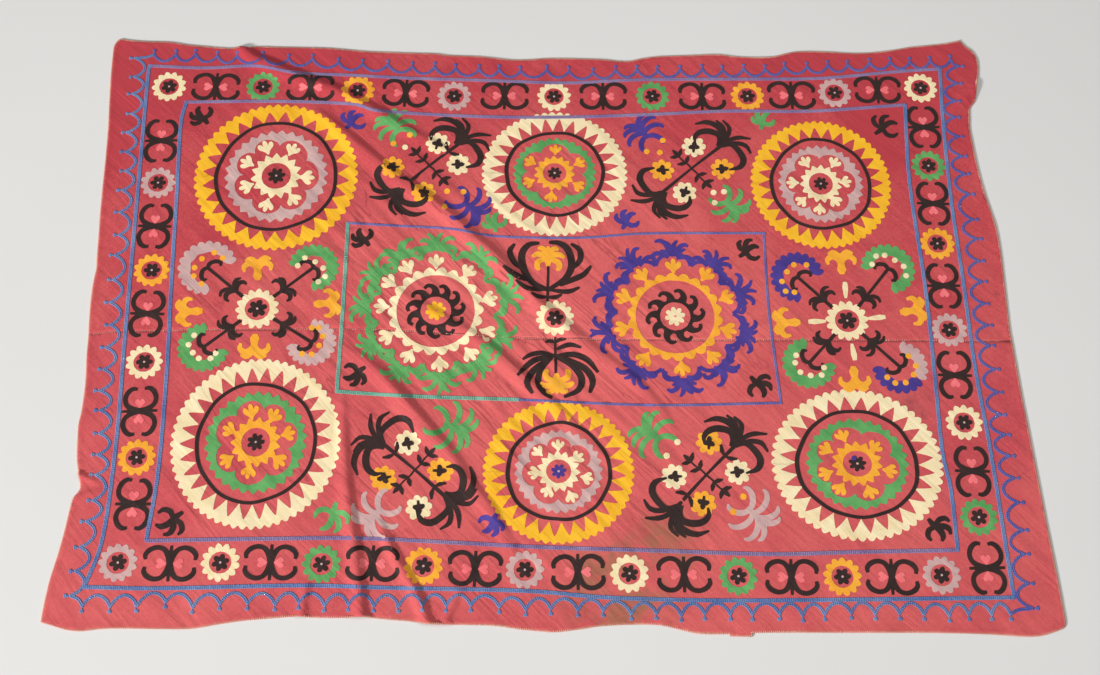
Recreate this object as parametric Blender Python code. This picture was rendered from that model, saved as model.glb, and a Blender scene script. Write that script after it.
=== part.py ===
"""An embroidered wall cloth lying on the floor, built from two lengths of cotton joined by a seam.

Each length is one thin closed sheet. It has the cloth's own uneven outline and the soft folds in which it lies.
Units are metres. +X runs along the cloth's length, +Y across it and +Z up. The tables are in millimetres.
"""

import math

import bmesh
import bpy
from mathutils import Vector
from mathutils.geometry import delaunay_2d_cdt, intersect_point_line

MM = 0.001
THICKNESS = 1.6  # cotton and the stitching on it
SEAM_GAP = 0.4  # between the two lengths, where the seam holds them
EDGE_STEPS = 2  # straight pieces between two measured points of an edge
FOLD_STEPS = 2  # straight pieces between two measured points of a fold
CENTRE = (4.1, 1.5)  # the middle of the cloth's box, in the tables' coordinates

# The four edges, as (x, y) points going round clockwise from the far left corner.
FAR_EDGE = (
    (-944, 632), (-937, 637), (-920, 634), (-880, 631), (-830, 630), (-795, 624), (-755, 620),
    (-705, 616), (-665, 617), (-640, 621), (-590, 620), (-495, 619), (-445, 615), (-400, 611),
    (-300, 608), (-250, 607), (-222, 603), (-155, 601), (-103, 595), (-75, 593), (-37, 595),
    (0, 598), (105, 597), (145, 593), (173, 593), (200, 600), (240, 606), (300, 609), (345, 612),
    (373, 612), (402, 608), (445, 606), (487, 608), (516, 616), (545, 622), (610, 622),
    (660, 619), (706, 621), (754, 628), (792, 636), (825, 640), (868, 646), (899, 653), (905, 656),
)
RIGHT_EDGE = (
    (905, 656), (916, 640), (930, 627), (938, 608), (939, 590), (936, 566), (928, 537), (923, 504),
    (914, 490), (907, 478), (904, 451), (902, 428), (904, 390), (907, 347), (912, 299), (918, 261),
    (925, 225), (930, 193), (932, 155), (932, 107), (930, 12), (929, -36), (930, -60), (931, -83),
    (935, -179), (939, -248), (944, -343), (949, -438), (955, -533), (958, -600), (958, -630), (950, -638),
)
NEAR_EDGE_RIGHT = (
    (950, -638), (930, -645), (911, -650), (887, -652), (849, -650), (800, -647), (706, -645),
    (563, -645), (420, -645), (371, -646),
)
LET_DOWN_HEM = ((371, -646), (371, -653), (330, -652), (330, -648))  # a short bit of hem that hangs out
NEAR_EDGE_LEFT = (
    (330, -648), (278, -648), (249, -643), (201, -632), (150, -631), (92, -634), (59, -639),
    (11, -645), (-14, -644), (-60, -640), (-103, -634), (-156, -632), (-222, -632), (-260, -626),
    (-300, -623), (-346, -619), (-399, -620), (-446, -619), (-480, -618), (-518, -621),
    (-565, -625), (-613, -632), (-660, -640), (-708, -641), (-813, -640), (-860, -645),
    (-889, -643), (-918, -635), (-939, -629),
)
LEFT_EDGE = (
    (-939, -629), (-937, -590), (-933, -552), (-928, -524), (-922, -490), (-917, -452),
    (-913, -414), (-906, -390), (-899, -376), (-901, -362), (-907, -340), (-912, -319),
    (-915, -295), (-918, -248), (-916, -226), (-915, -179), (-917, -140), (-920, -102),
    (-922, -58), (-924, -36), (-927, 26), (-926, 60), (-924, 88), (-926, 107), (-928, 155),
    (-931, 202), (-933, 250), (-936, 347), (-938, 394), (-941, 442), (-945, 490), (-948, 537),
    (-950, 585), (-950, 618), (-944, 632),
)
SEAM = ((-922, -58), (-845, -51), (-600, -45), (-346, -44), (-103, -58), (80, -62), (300, -62), (600, -60), (930, -60))

# Each fold is a soft ridge, given along its crest as (x, y, height, reach of each side).
FOLDS = {
    "tuck_from_far_hem": (
        (-676, 622, 8, 20), (-645, 590, 10, 28), (-590, 564, 9, 32), (-530, 538, 9, 32), (-465, 512, 9, 30),
        (-410, 480, 9, 30), (-356, 448, 8, 32), (-300, 410, 6, 32), (-240, 375, 4, 30), (-190, 345, 0, 28),
    ),
    "long_diagonal": (
        (-520, 470, 0, 28), (-475, 440, 5, 32), (-430, 396, 7, 34), (-368, 340, 7, 36), (-320, 296, 8, 38),
        (-255, 248, 9, 38), (-203, 203, 10, 36), (-165, 162, 10, 34), (-132, 135, 10, 34), (-84, 83, 10, 36),
        (-27, 17, 9, 36), (44, -50, 7, 36), (111, -107, 6, 34), (178, -164, 5, 32), (222, -222, 3, 28),
        (250, -280, 0, 26),
    ),
    "middle_diagonal": (
        (-410, 135, 0, 30), (-345, 66, 4, 36), (-270, 10, 5, 38), (-200, -30, 6, 36), (-150, -62, 8, 34),
        (-99, -104, 8, 32), (-46, -155, 8, 32), (-5, -195, 6, 32), (50, -250, 4, 32), (90, -300, 0, 28),
    ),
    "near_diagonal": (
        (-425, -75, 0, 28), (-370, -110, 6, 34), (-332, -146, 8, 36), (-290, -195, 9, 36), (-256, -236, 9, 36),
        (-227, -270, 8, 34), (-194, -306, 7, 34), (-150, -372, 6, 32), (-113, -420, 6, 30), (-84, -472, 4, 28),
        (-60, -510, 0, 26),
    ),
    "ridge_to_near_edge": (
        (-412, -170, 0, 20), (-404, -250, 5, 22), (-396, -340, 7, 26), (-382, -432, 8, 28), (-370, -490, 8, 26),
        (-362, -545, 8, 26), (-350, -630, 8, 26),
    ),
    "second_ridge_to_near_edge": (
        (-330, -430, 0, 16), (-316, -460, 5, 20), (-292, -510, 7, 20), (-258, -562, 7, 20), (-224, -640, 7, 22),
    ),
    "short_ridge_at_near_edge": ((-455, -540, 0, 14), (-458, -580, 4, 16), (-464, -628, 6, 20)),
    "crossing_ridge_at_near_edge": ((-160, -550, 0, 12), (-180, -590, 4, 14), (-202, -642, 5, 16)),
    "upper_gather_at_left_edge": ((-852, -369, 0, 8), (-880, -358, 4, 10), (-916, -344, 6, 14)),
    "lower_gather_at_left_edge": ((-852, -373, 0, 8), (-880, -384, 4, 10), (-916, -398, 6, 14)),
    "wave_at_right_corner": ((866, 470, 0, 18), (890, 497, 4, 22), (915, 524, 6, 24), (940, 548, 6, 24)),
}
RAILS = (-1.0, -0.5, 0.0, 0.5, 1.0)  # lines of points along each fold, as fractions of its reach

SHEETS = {"far_length": (0.600, 0.062, 0.078), "near_length": (0.625, 0.085, 0.098)}


def clear_scene():
    for old in list(bpy.data.objects):
        bpy.data.objects.remove(old, do_unlink=True)


def material(name, colour):
    cloth = bpy.data.materials.new(name)
    cloth.use_nodes = True
    shader = cloth.node_tree.nodes["Principled BSDF"]
    shader.inputs["Base Color"].default_value = (*colour, 1.0)
    shader.inputs["Roughness"].default_value = 0.85
    return cloth


def smoothed(points, steps):
    """A curve through the points, as straight pieces. Points may carry more than x and y."""
    rows = [Vector(point) for point in points]
    rows = [2 * rows[0] - rows[1], *rows, 2 * rows[-1] - rows[-2]]
    curve = []
    for before, start, end, after in zip(rows, rows[1:], rows[2:], rows[3:]):
        for step in range(steps):
            t = step / steps
            curve.append(
                0.5
                * (
                    2 * start
                    + (end - before) * t
                    + (2 * before - 5 * start + 4 * end - after) * t**2
                    + (3 * start - before - 3 * end + after) * t**3
                )
            )
    return [*curve, rows[-2]]


def fold_height(fold, spot):
    """How far one fold lifts the cloth at a spot: a rounded ridge that falls to nothing at its reach."""
    lift = 0.0
    for start, end in zip(fold, fold[1:]):
        foot, along = intersect_point_line(spot, start.xy, end.xy)
        along = min(max(along, 0.0), 1.0)
        crest = start.lerp(end, along)
        away = (spot - crest.xy).length / crest.w
        if away < 1:
            lift = max(lift, crest.z * math.cos(away * math.pi / 2) ** 2)
    return lift


def cloth_height(folds, spot):
    return max(fold_height(fold, spot) for fold in folds)


def fold_rails(fold):
    """Lines of points along a fold: its two feet, its crest and halfway up each side."""
    for rail in RAILS:
        line = []
        for index, point in enumerate(fold):
            ahead = fold[min(index + 1, len(fold) - 1)].xy - fold[max(index - 1, 0)].xy
            side = Vector((-ahead.y, ahead.x)).normalized()
            line.append(point.xy + side * point.w * rail)
        yield line


def panel_outlines():
    """The closed outline of the length beyond the seam and of the one on its near side, as lists of points."""
    right = smoothed(RIGHT_EDGE, EDGE_STEPS)
    left = smoothed(LEFT_EDGE, EDGE_STEPS)
    seam = smoothed(SEAM, 4 * EDGE_STEPS)
    near = smoothed(NEAR_EDGE_RIGHT, EDGE_STEPS)[:-1]
    near += [Vector(point) for point in LET_DOWN_HEM[:-1]]
    near += smoothed(NEAR_EDGE_LEFT, EDGE_STEPS)
    half = Vector((0, SEAM_GAP / 2))
    beyond = smoothed(FAR_EDGE, EDGE_STEPS)[:-1]
    beyond += [point for point in right if point.y > seam[-1].y + 1]
    beyond += [point + half for point in reversed(seam)]
    beyond += [point for point in left if point.y > seam[0].y + 1][:-1]
    nearer = [point - half for point in seam]
    nearer += [point for point in right if point.y < seam[-1].y - 1][:-1]
    nearer += near
    nearer += [point for point in left if point.y < seam[0].y - 1][1:]
    return beyond, nearer


def lay_out(outlines, folds):
    """Triangles that fill each outline, with edges along every fold, as (points, one list of faces per outline)."""
    points, edges, loops = [], [], []
    for outline in outlines:
        loops.append(list(range(len(points) + len(outline) - 1, len(points) - 1, -1)))
        points += outline
    for fold in folds:
        for rail in fold_rails(fold):
            first = len(points)
            edges += [(first + step, first + step + 1) for step in range(len(rail) - 1)]
            points += rail
    spots, _, faces, _, _, owners = delaunay_2d_cdt(points, edges, loops, 0, 0.01)
    kept = [
        [face for face, owner in zip(faces, owners) if index in owner]
        for index in range(len(outlines))
    ]
    return spots, kept


def thin_sheet(name, spots, heights, faces, colour):
    """One closed sheet: the laid-out faces at the height of the folds, and the same again a thickness above."""
    mesh = bmesh.new()
    made = {}
    for face in faces:
        for corner in face:
            if corner not in made:
                spot = spots[corner]
                made[corner] = mesh.verts.new(
                    ((spot.x - CENTRE[0]) * MM, (spot.y - CENTRE[1]) * MM, heights[corner] * MM)
                )
    under = [mesh.faces.new([made[corner] for corner in face]) for face in faces]
    raised = bmesh.ops.extrude_face_region(mesh, geom=under, use_keep_orig=True)
    for part in raised["geom"]:
        if isinstance(part, bmesh.types.BMVert):
            part.co.z += THICKNESS * MM
    bmesh.ops.recalc_face_normals(mesh, faces=mesh.faces)
    data = bpy.data.meshes.new(name)
    mesh.to_mesh(data)
    mesh.free()
    data.materials.append(material(name, colour))
    return bpy.data.objects.new(name, data)


clear_scene()
suzani = bpy.data.collections.new("suzani_cloth")
bpy.context.scene.collection.children.link(suzani)
all_folds = [smoothed(fold, FOLD_STEPS) for fold in FOLDS.values()]
laid_spots, faces_of = lay_out(panel_outlines(), all_folds)
lifts = [cloth_height(all_folds, spot) for spot in laid_spots]
for (sheet_name, sheet_colour), sheet_faces in zip(SHEETS.items(), faces_of):
    suzani.objects.link(thin_sheet(sheet_name, laid_spots, lifts, sheet_faces, sheet_colour))
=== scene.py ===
# %% [markdown]
# # An embroidered wall cloth, laid out on a floor
# The real object is a suzani. Two lengths of thin red cotton are sewn side by side, and then covered with
# motifs in thick chain stitch. It lies loosely, so its outline is uneven and soft folds run across it. The
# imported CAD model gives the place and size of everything. It is loaded first and never moved.

import math

import bpy
import numpy as np
from mathutils import Matrix, Vector
from mathutils.geometry import delaunay_2d_cdt


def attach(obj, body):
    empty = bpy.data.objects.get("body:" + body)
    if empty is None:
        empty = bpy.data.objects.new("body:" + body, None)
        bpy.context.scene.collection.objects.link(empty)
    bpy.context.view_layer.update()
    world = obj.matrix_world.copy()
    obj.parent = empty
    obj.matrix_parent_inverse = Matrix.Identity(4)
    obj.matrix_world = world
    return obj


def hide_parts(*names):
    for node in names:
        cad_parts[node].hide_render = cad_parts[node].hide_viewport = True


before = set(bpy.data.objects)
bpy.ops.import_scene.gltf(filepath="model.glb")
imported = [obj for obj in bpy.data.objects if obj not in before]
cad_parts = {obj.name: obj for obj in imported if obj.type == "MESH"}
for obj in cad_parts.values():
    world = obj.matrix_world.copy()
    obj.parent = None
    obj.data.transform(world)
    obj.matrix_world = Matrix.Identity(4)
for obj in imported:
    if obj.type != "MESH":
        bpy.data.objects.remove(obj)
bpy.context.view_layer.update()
MM = 0.001

# %% [markdown]
# ## Camera, floor and light
# The photograph looks down on the cloth from one end of a room, a little turned. Its camera was worked out
# from the cloth's own straight frames and round motifs. A wide soft light overhead and one lower light from
# the near left show the folds without hard shadows, with their far right sides darker, as in the photograph.

# %% Camera at the photograph's viewing angle
TILT, ROLL, TURN = (math.radians(angle) for angle in (21.95, 3.08, -2.94))
CAMERA_SPOT = (-0.0591, -1.0865, 2.55)
PHOTO_WIDTH, FOCAL_PIXELS, SENSOR = 1100, 1370, 36.0
lens = bpy.data.cameras.new("photo_camera")
lens.sensor_width = SENSOR
lens.lens = SENSOR * FOCAL_PIXELS / PHOTO_WIDTH
lens.dof.use_dof = False
camera = bpy.data.objects.new("photo_camera", lens)
aim = Matrix.Rotation(TURN, 4, "Z") @ Matrix.Rotation(TILT, 4, "X") @ Matrix.Rotation(ROLL, 4, "Z")
camera.matrix_world = Matrix.Translation(CAMERA_SPOT) @ aim
bpy.context.scene.collection.objects.link(camera)
bpy.context.scene.camera = camera
print("lens", round(lens.lens, 2), "mm")


# %% Colours and nodes
def linear(code):
    """An sRGB hex colour as the linear RGBA that shaders work in."""
    shares = [int(code[place : place + 2], 16) / 255 for place in (1, 3, 5)]
    light = [share / 12.92 if share <= 0.04045 else ((share + 0.055) / 1.055) ** 2.4 for share in shares]
    return (*light, 1.0)


def add(tree, kind, inputs=None, **settings):
    """Adds a node, with its settings and with a value or a link on each named input."""
    node = tree.nodes.new(kind)
    for name, value in settings.items():
        setattr(node, name, value)
    for socket, value in (inputs or {}).items():
        if isinstance(value, bpy.types.NodeSocket):
            tree.links.new(value, node.inputs[socket])
        else:
            node.inputs[socket].default_value = value
    return node


def new_material(name):
    """An empty material with its shader and node tree."""
    made = bpy.data.materials.new(name)
    made.use_nodes = True
    return made, made.node_tree, made.node_tree.nodes["Principled BSDF"]


def maths(tree, operation, *terms, **settings):
    """The result of a Math node on numbers and sockets."""
    return add(tree, "ShaderNodeMath", dict(enumerate(terms)), operation=operation, **settings).outputs[0]


def ranged(tree, value, start, end, low=0.0, high=1.0, smooth=False):
    """The result of a Map Range node, which takes start to low and end to high."""
    inputs = {"Value": value, "From Min": start, "From Max": end, "To Min": low, "To Max": high}
    kind = "SMOOTHSTEP" if smooth else "LINEAR"
    return add(tree, "ShaderNodeMapRange", inputs, interpolation_type=kind).outputs["Result"]


def mixed(tree, share, first, second):
    """A colour between two others, as the share goes from 0 to 1."""
    inputs = {"Factor": share, "A": first, "B": second}
    return add(tree, "ShaderNodeMix", inputs, data_type="RGBA").outputs["Result"]


def noise(tree, place, scale, detail=2.0, roughness=0.5):
    """The value of a Noise texture at a place."""
    inputs = {"Vector": place, "Scale": scale, "Detail": detail, "Roughness": roughness}
    return add(tree, "ShaderNodeTexNoise", inputs).outputs["Fac"]


def distance_from(tree, place, middle):
    """How far a place is from a middle, in metres."""
    inputs = {0: place, 1: (*middle, 0.0)}
    return add(tree, "ShaderNodeVectorMath", inputs, operation="DISTANCE").outputs["Value"]


# %% Floor of pale matt board
pale_board, tree, shader = new_material("pale_matt_board")
shader.inputs["Roughness"].default_value = 0.9
place = add(tree, "ShaderNodeTexCoord").outputs["Object"]
shades = mixed(tree, noise(tree, place, 1.5), linear("#D9D8D5"), linear("#DFDEDB"))
tree.links.new(shades, shader.inputs["Base Color"])
floor_mesh = bpy.data.meshes.new("floor")
HALF_FLOOR, FLOOR_GAP = 6.0, 0.0002  # the floor lies a little lower than the cloth
floor_corners = ((-1, -1), (1, -1), (1, 1), (-1, 1))
floor_mesh.from_pydata(
    [(x * HALF_FLOOR, y * HALF_FLOOR, -FLOOR_GAP) for x, y in floor_corners], [], [(0, 1, 2, 3)]
)
floor = bpy.data.objects.new("floor", floor_mesh)
floor_mesh.materials.append(pale_board)
bpy.context.scene.collection.objects.link(floor)

# %% Soft studio light
bpy.context.scene.view_settings.view_transform = "Standard"
LIGHTS = {
    "overhead_softbox": ((0.7, 0.2, 3.2), 2.4, 38.0),
    "near_left_softbox": ((-8.0, -6.0, 4.5), 1.6, 1500.0),
}
for name, (spot, size, power) in LIGHTS.items():
    lamp = bpy.data.lights.new(name, "AREA")
    lamp.size, lamp.energy = size, power
    holder = bpy.data.objects.new(name, lamp)
    holder.location = spot
    holder.rotation_euler = (-Vector(spot)).to_track_quat("-Z", "Y").to_euler()
    bpy.context.scene.collection.objects.link(holder)
world = bpy.data.worlds.new("room")
bpy.context.scene.world = world
world.use_nodes = True
world.node_tree.nodes["Background"].inputs["Color"].default_value = linear("#F4F4F6")
world.node_tree.nodes["Background"].inputs["Strength"].default_value = 0.25
print("lights:", list(LIGHTS))

# %% [markdown]
# ## How the cloth lies
# The outline and folds are the same measured tables as in the CAD source, in millimetres from a point near
# the cloth's middle. A cloth simulation could drop a flat sheet, but it wouldn't fold where the real one
# does. So each fold is a line along its crest with a height and a reach, and the cloth rises to it in a
# rounded ridge. Low ripples are added between the big folds, as the real cotton has.

# %% Outline, seam and folds
CENTRE = (4.1, 1.5)  # the middle of the cloth's box, in the tables' coordinates
THICKNESS = 1.6  # cotton and the stitching on it
SEAM_GAP = 0.4
FAR_EDGE = (
    (-944, 632), (-937, 637), (-920, 634), (-880, 631), (-830, 630), (-795, 624), (-755, 620),
    (-705, 616), (-665, 617), (-640, 621), (-590, 620), (-495, 619), (-445, 615), (-400, 611),
    (-300, 608), (-250, 607), (-222, 603), (-155, 601), (-103, 595), (-75, 593), (-37, 595),
    (0, 598), (105, 597), (145, 593), (173, 593), (200, 600), (240, 606), (300, 609), (345, 612),
    (373, 612), (402, 608), (445, 606), (487, 608), (516, 616), (545, 622), (610, 622),
    (660, 619), (706, 621), (754, 628), (792, 636), (825, 640), (868, 646), (899, 653), (905, 656),
)
RIGHT_EDGE = (
    (905, 656), (916, 640), (930, 627), (938, 608), (939, 590), (936, 566), (928, 537), (923, 504),
    (914, 490), (907, 478), (904, 451), (902, 428), (904, 390), (907, 347), (912, 299), (918, 261),
    (925, 225), (930, 193), (932, 155), (932, 107), (930, 12), (929, -36), (930, -60), (931, -83),
    (935, -179), (939, -248), (944, -343), (949, -438), (955, -533), (958, -600), (958, -630), (950, -638),
)
NEAR_EDGE_RIGHT = (
    (950, -638), (930, -645), (911, -650), (887, -652), (849, -650), (800, -647), (706, -645),
    (563, -645), (420, -645), (371, -646),
)
LET_DOWN_HEM = ((371, -646), (371, -653), (330, -652), (330, -648))
NEAR_EDGE_LEFT = (
    (330, -648), (278, -648), (249, -643), (201, -632), (150, -631), (92, -634), (59, -639),
    (11, -645), (-14, -644), (-60, -640), (-103, -634), (-156, -632), (-222, -632), (-260, -626),
    (-300, -623), (-346, -619), (-399, -620), (-446, -619), (-480, -618), (-518, -621),
    (-565, -625), (-613, -632), (-660, -640), (-708, -641), (-813, -640), (-860, -645),
    (-889, -643), (-918, -635), (-939, -629),
)
LEFT_EDGE = (
    (-939, -629), (-937, -590), (-933, -552), (-928, -524), (-922, -490), (-917, -452),
    (-913, -414), (-906, -390), (-899, -376), (-901, -362), (-907, -340), (-912, -319),
    (-915, -295), (-918, -248), (-916, -226), (-915, -179), (-917, -140), (-920, -102),
    (-922, -58), (-924, -36), (-927, 26), (-926, 60), (-924, 88), (-926, 107), (-928, 155),
    (-931, 202), (-933, 250), (-936, 347), (-938, 394), (-941, 442), (-945, 490), (-948, 537),
    (-950, 585), (-950, 618), (-944, 632),
)
SEAM = (
    (-922, -58), (-845, -51), (-600, -45), (-346, -44), (-103, -58), (80, -62), (300, -62), (600, -60),
    (930, -60),
)

# Each fold runs along its crest as (x, y, height, reach of each side).
FOLDS = {
    "tuck_from_far_hem": (
        (-676, 622, 8, 20), (-645, 590, 10, 28), (-590, 564, 9, 32), (-530, 538, 9, 32), (-465, 512, 9, 30),
        (-410, 480, 9, 30), (-356, 448, 8, 32), (-300, 410, 6, 32), (-240, 375, 4, 30), (-190, 345, 0, 28),
    ),
    "long_diagonal": (
        (-520, 470, 0, 28), (-475, 440, 5, 32), (-430, 396, 7, 34), (-368, 340, 7, 36), (-320, 296, 8, 38),
        (-255, 248, 9, 38), (-203, 203, 10, 36), (-165, 162, 10, 34), (-132, 135, 10, 34), (-84, 83, 10, 36),
        (-27, 17, 9, 36), (44, -50, 7, 36), (111, -107, 6, 34), (178, -164, 5, 32), (222, -222, 3, 28),
        (250, -280, 0, 26),
    ),
    "middle_diagonal": (
        (-410, 135, 0, 30), (-345, 66, 4, 36), (-270, 10, 5, 38), (-200, -30, 6, 36), (-150, -62, 8, 34),
        (-99, -104, 8, 32), (-46, -155, 8, 32), (-5, -195, 6, 32), (50, -250, 4, 32), (90, -300, 0, 28),
    ),
    "near_diagonal": (
        (-425, -75, 0, 28), (-370, -110, 6, 34), (-332, -146, 8, 36), (-290, -195, 9, 36),
        (-256, -236, 9, 36), (-227, -270, 8, 34), (-194, -306, 7, 34), (-150, -372, 6, 32),
        (-113, -420, 6, 30), (-84, -472, 4, 28), (-60, -510, 0, 26),
    ),
    "ridge_to_near_edge": (
        (-412, -170, 0, 20), (-404, -250, 5, 22), (-396, -340, 7, 26), (-382, -432, 8, 28),
        (-370, -490, 8, 26), (-362, -545, 8, 26), (-350, -630, 8, 26),
    ),
    "second_ridge_to_near_edge": (
        (-330, -430, 0, 16), (-316, -460, 5, 20), (-292, -510, 7, 20), (-258, -562, 7, 20),
        (-224, -640, 7, 22),
    ),
    "short_ridge_at_near_edge": ((-455, -540, 0, 14), (-458, -580, 4, 16), (-464, -628, 6, 20)),
    "crossing_ridge_at_near_edge": ((-160, -550, 0, 12), (-180, -590, 4, 14), (-202, -642, 5, 16)),
    "upper_gather_at_left_edge": ((-852, -369, 0, 8), (-880, -358, 4, 10), (-916, -344, 6, 14)),
    "lower_gather_at_left_edge": ((-852, -373, 0, 8), (-880, -384, 4, 10), (-916, -398, 6, 14)),
    "wave_at_right_corner": ((866, 470, 0, 18), (890, 497, 4, 22), (915, 524, 6, 24), (940, 548, 6, 24)),
}


# %% Height of the cloth anywhere
def smoothed(points, steps):
    """A curve through the points, as straight pieces. Points may carry more than x and y."""
    rows = np.asarray(points, float)
    rows = np.vstack([2 * rows[0] - rows[1], rows, 2 * rows[-1] - rows[-2]])
    before, start, end, after = rows[:-3], rows[1:-2], rows[2:-1], rows[3:]
    stages = [
        0.5 * (
            2 * start + (end - before) * t + (2 * before - 5 * start + 4 * end - after) * t**2
            + (3 * start - before - 3 * end + after) * t**3
        )
        for t in np.arange(steps) / steps
    ]
    return np.vstack([np.stack(stages, 1).reshape(-1, rows.shape[1]), rows[-2]])


RIPPLE_HEIGHT = 0.75


def ripples(spots):
    """Low waves between the diagonal folds, running the same way as they do."""
    across, along = (spots[:, 0] + spots[:, 1]) / math.sqrt(2), (spots[:, 0] - spots[:, 1]) / math.sqrt(2)
    wide = np.sin(across / 6.1 + 1.3 * np.sin(along / 90))
    narrow = np.sin(across / 3.9 + 2 + 1.2 * np.sin(along / 61))
    waves = wide + 0.7 * narrow
    patch = np.exp(-(((across + 130) / 230) ** 2)) * np.exp(-(((along + 60) / 520) ** 4))
    return RIPPLE_HEIGHT * (waves + 1.7) * patch


STEEP_SIDE = 0.6  # each fold leans over, so its far right side is this share as wide as the other


def drape(spots):
    """How high the cloth's underside lies at each spot, in millimetres."""
    spots = np.asarray(spots, float)
    height = ripples(spots)
    for fold in FOLDS.values():
        crest = smoothed(fold, 2)
        for start, end in zip(crest, crest[1:]):
            run = end[:2] - start[:2]
            share = np.clip((spots - start[:2]) @ run / (run @ run), 0, 1)
            nearest = start + share[:, None] * (end - start)
            gap = spots - nearest[:, :2]
            steep = np.where(gap.sum(1) > 0, STEEP_SIDE, 1.0)
            away = np.hypot(*gap.T) / (nearest[:, 3] * steep)
            ridge = nearest[:, 2] * np.cos(np.minimum(away, 1) * math.pi / 2) ** 2
            height = np.maximum(height, ridge)
    return height


# the spot below the camera, and the camera's height, in millimetres: raised points move towards the spot
EYE, EYE_HEIGHT = np.array([-55.0, -1085.0]), 2550.0


def as_it_lies(spots):
    """Where a point of the layout tables really lies, since they show the cloth as if it were flat."""
    spots = np.asarray(spots, float)
    lying = spots
    for _ in range(2):
        lying = EYE + (spots - EYE) * (1 - (drape(lying) + THICKNESS) / EYE_HEIGHT)[:, None]
    return lying


def in_metres(spots, heights):
    """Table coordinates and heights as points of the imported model's frame."""
    spots = np.asarray(spots, float)
    return np.column_stack([(spots - CENTRE) * MM, np.asarray(heights) * MM])


crests = [point[:2] for fold in FOLDS.values() for point in fold]
print("highest fold:", round(float(drape(crests).max()), 1), "mm")

# %% [markdown]
# ## The two lengths of cotton
# A real length is woven, so it bends smoothly everywhere and has the same thickness all over. A flat grid
# with Solidify would do, but it wouldn't meet the uneven edge. Here a fine lattice of points is joined to the
# outline in one triangulation, lifted by the folds, and closed with an underside and a wall. The narrow hem
# is turned twice, so a strip along the outer edges stands a little higher.

# %% Outlines of the two lengths
LATTICE = 6.2  # spacing of the lattice of points
LATTICE_ROW = 0.866  # distance of its rows, as a share of the spacing, for triangles with equal sides
CLEAR_OF_EDGE = 0.4  # no lattice point lies closer to the outline than this share of the spacing
HEM_END, HEM_SLOPE, HEM_RISE = 10.0, 3.0, 0.7  # how far in it ends, over what width it slopes, and its height


def panel_outlines():
    """The closed outline of the far length and of the near one, anticlockwise."""
    right, left, seam = smoothed(RIGHT_EDGE, 3), smoothed(LEFT_EDGE, 3), smoothed(SEAM, 12)
    near = np.vstack([smoothed(NEAR_EDGE_RIGHT, 3)[:-1], LET_DOWN_HEM[:-1], smoothed(NEAR_EDGE_LEFT, 3)])
    half = np.array([0, SEAM_GAP / 2])
    far_right, near_right = right[right[:, 1] > seam[-1, 1] + 1], right[right[:, 1] < seam[-1, 1] - 1][:-1]
    far_left, near_left = left[left[:, 1] > seam[0, 1] + 1][:-1], left[left[:, 1] < seam[0, 1] - 1][1:]
    beyond = np.vstack([smoothed(FAR_EDGE, 3)[:-1], far_right, seam[::-1] + half, far_left])
    nearer = np.vstack([seam - half, near_right, near, near_left])
    return beyond[::-1], nearer[::-1]


def distance_to(line, spots):
    """How far each spot is from a line of points."""
    nearest = np.full(len(spots), np.inf)
    for start, end in zip(line, line[1:]):
        run = end - start
        share = np.clip((spots - start) @ run / max(run @ run, 1e-9), 0, 1)
        nearest = np.minimum(nearest, np.hypot(*(spots - start - share[:, None] * run).T))
    return nearest


near_edge = [smoothed(NEAR_EDGE_RIGHT, 3)[:-1], LET_DOWN_HEM[:-1], smoothed(NEAR_EDGE_LEFT, 3)[:-1]]
rim = np.vstack(
    [smoothed(FAR_EDGE, 3)[:-1], smoothed(RIGHT_EDGE, 3)[:-1], *near_edge, smoothed(LEFT_EDGE, 3)]
)
print("rim", round(float(np.hypot(*np.diff(rim, axis=0).T).sum()) * MM, 2), "m round")


# %% A closed thin mesh over any outline
def triangulated(outline, inside=(), holes=()):
    """Triangles that fill an anticlockwise outline, as (spots, faces). Points inside become corners."""
    loops, points = [], []
    for loop in (outline, *holes):
        loops.append(list(range(len(points), len(points) + len(loop))))
        points += [Vector(point) for point in loop]
    points += [Vector(point) for point in inside]
    spots, _, faces, _, _, owners = delaunay_2d_cdt(points, [], loops, 0, 0.01)
    kept = [face for face, owner in zip(faces, owners) if list(owner) == [0]]
    corners = sorted({corner for face in kept for corner in face})
    renamed = {corner: index for index, corner in enumerate(corners)}
    kept = [[renamed[corner] for corner in face] for face in kept]
    return np.array([spots[corner] for corner in corners]), kept


def closed_faces(faces, count):
    """The faces of a thin closed body: the top ones, the same turned over below, and a wall round them."""
    sides = {(a, b) for face in faces for a, b in zip(face, [*face[1:], face[0]])}
    wall = [(b, a, a + count, b + count) for a, b in sides if (b, a) not in sides]
    return [*faces, *[[corner + count for corner in reversed(face)] for face in faces], *sorted(wall)]


def new_piece(name, points, faces, material, smooth=True):
    """An object from points and faces, with one material."""
    mesh = bpy.data.meshes.new(name)
    mesh.from_pydata([tuple(point) for point in points], [], faces)
    mesh.polygons.foreach_set("use_smooth", [smooth] * len(mesh.polygons))
    mesh.materials.append(material)
    piece = bpy.data.objects.new(name, mesh)
    bpy.context.scene.collection.objects.link(piece)
    return piece


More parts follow.
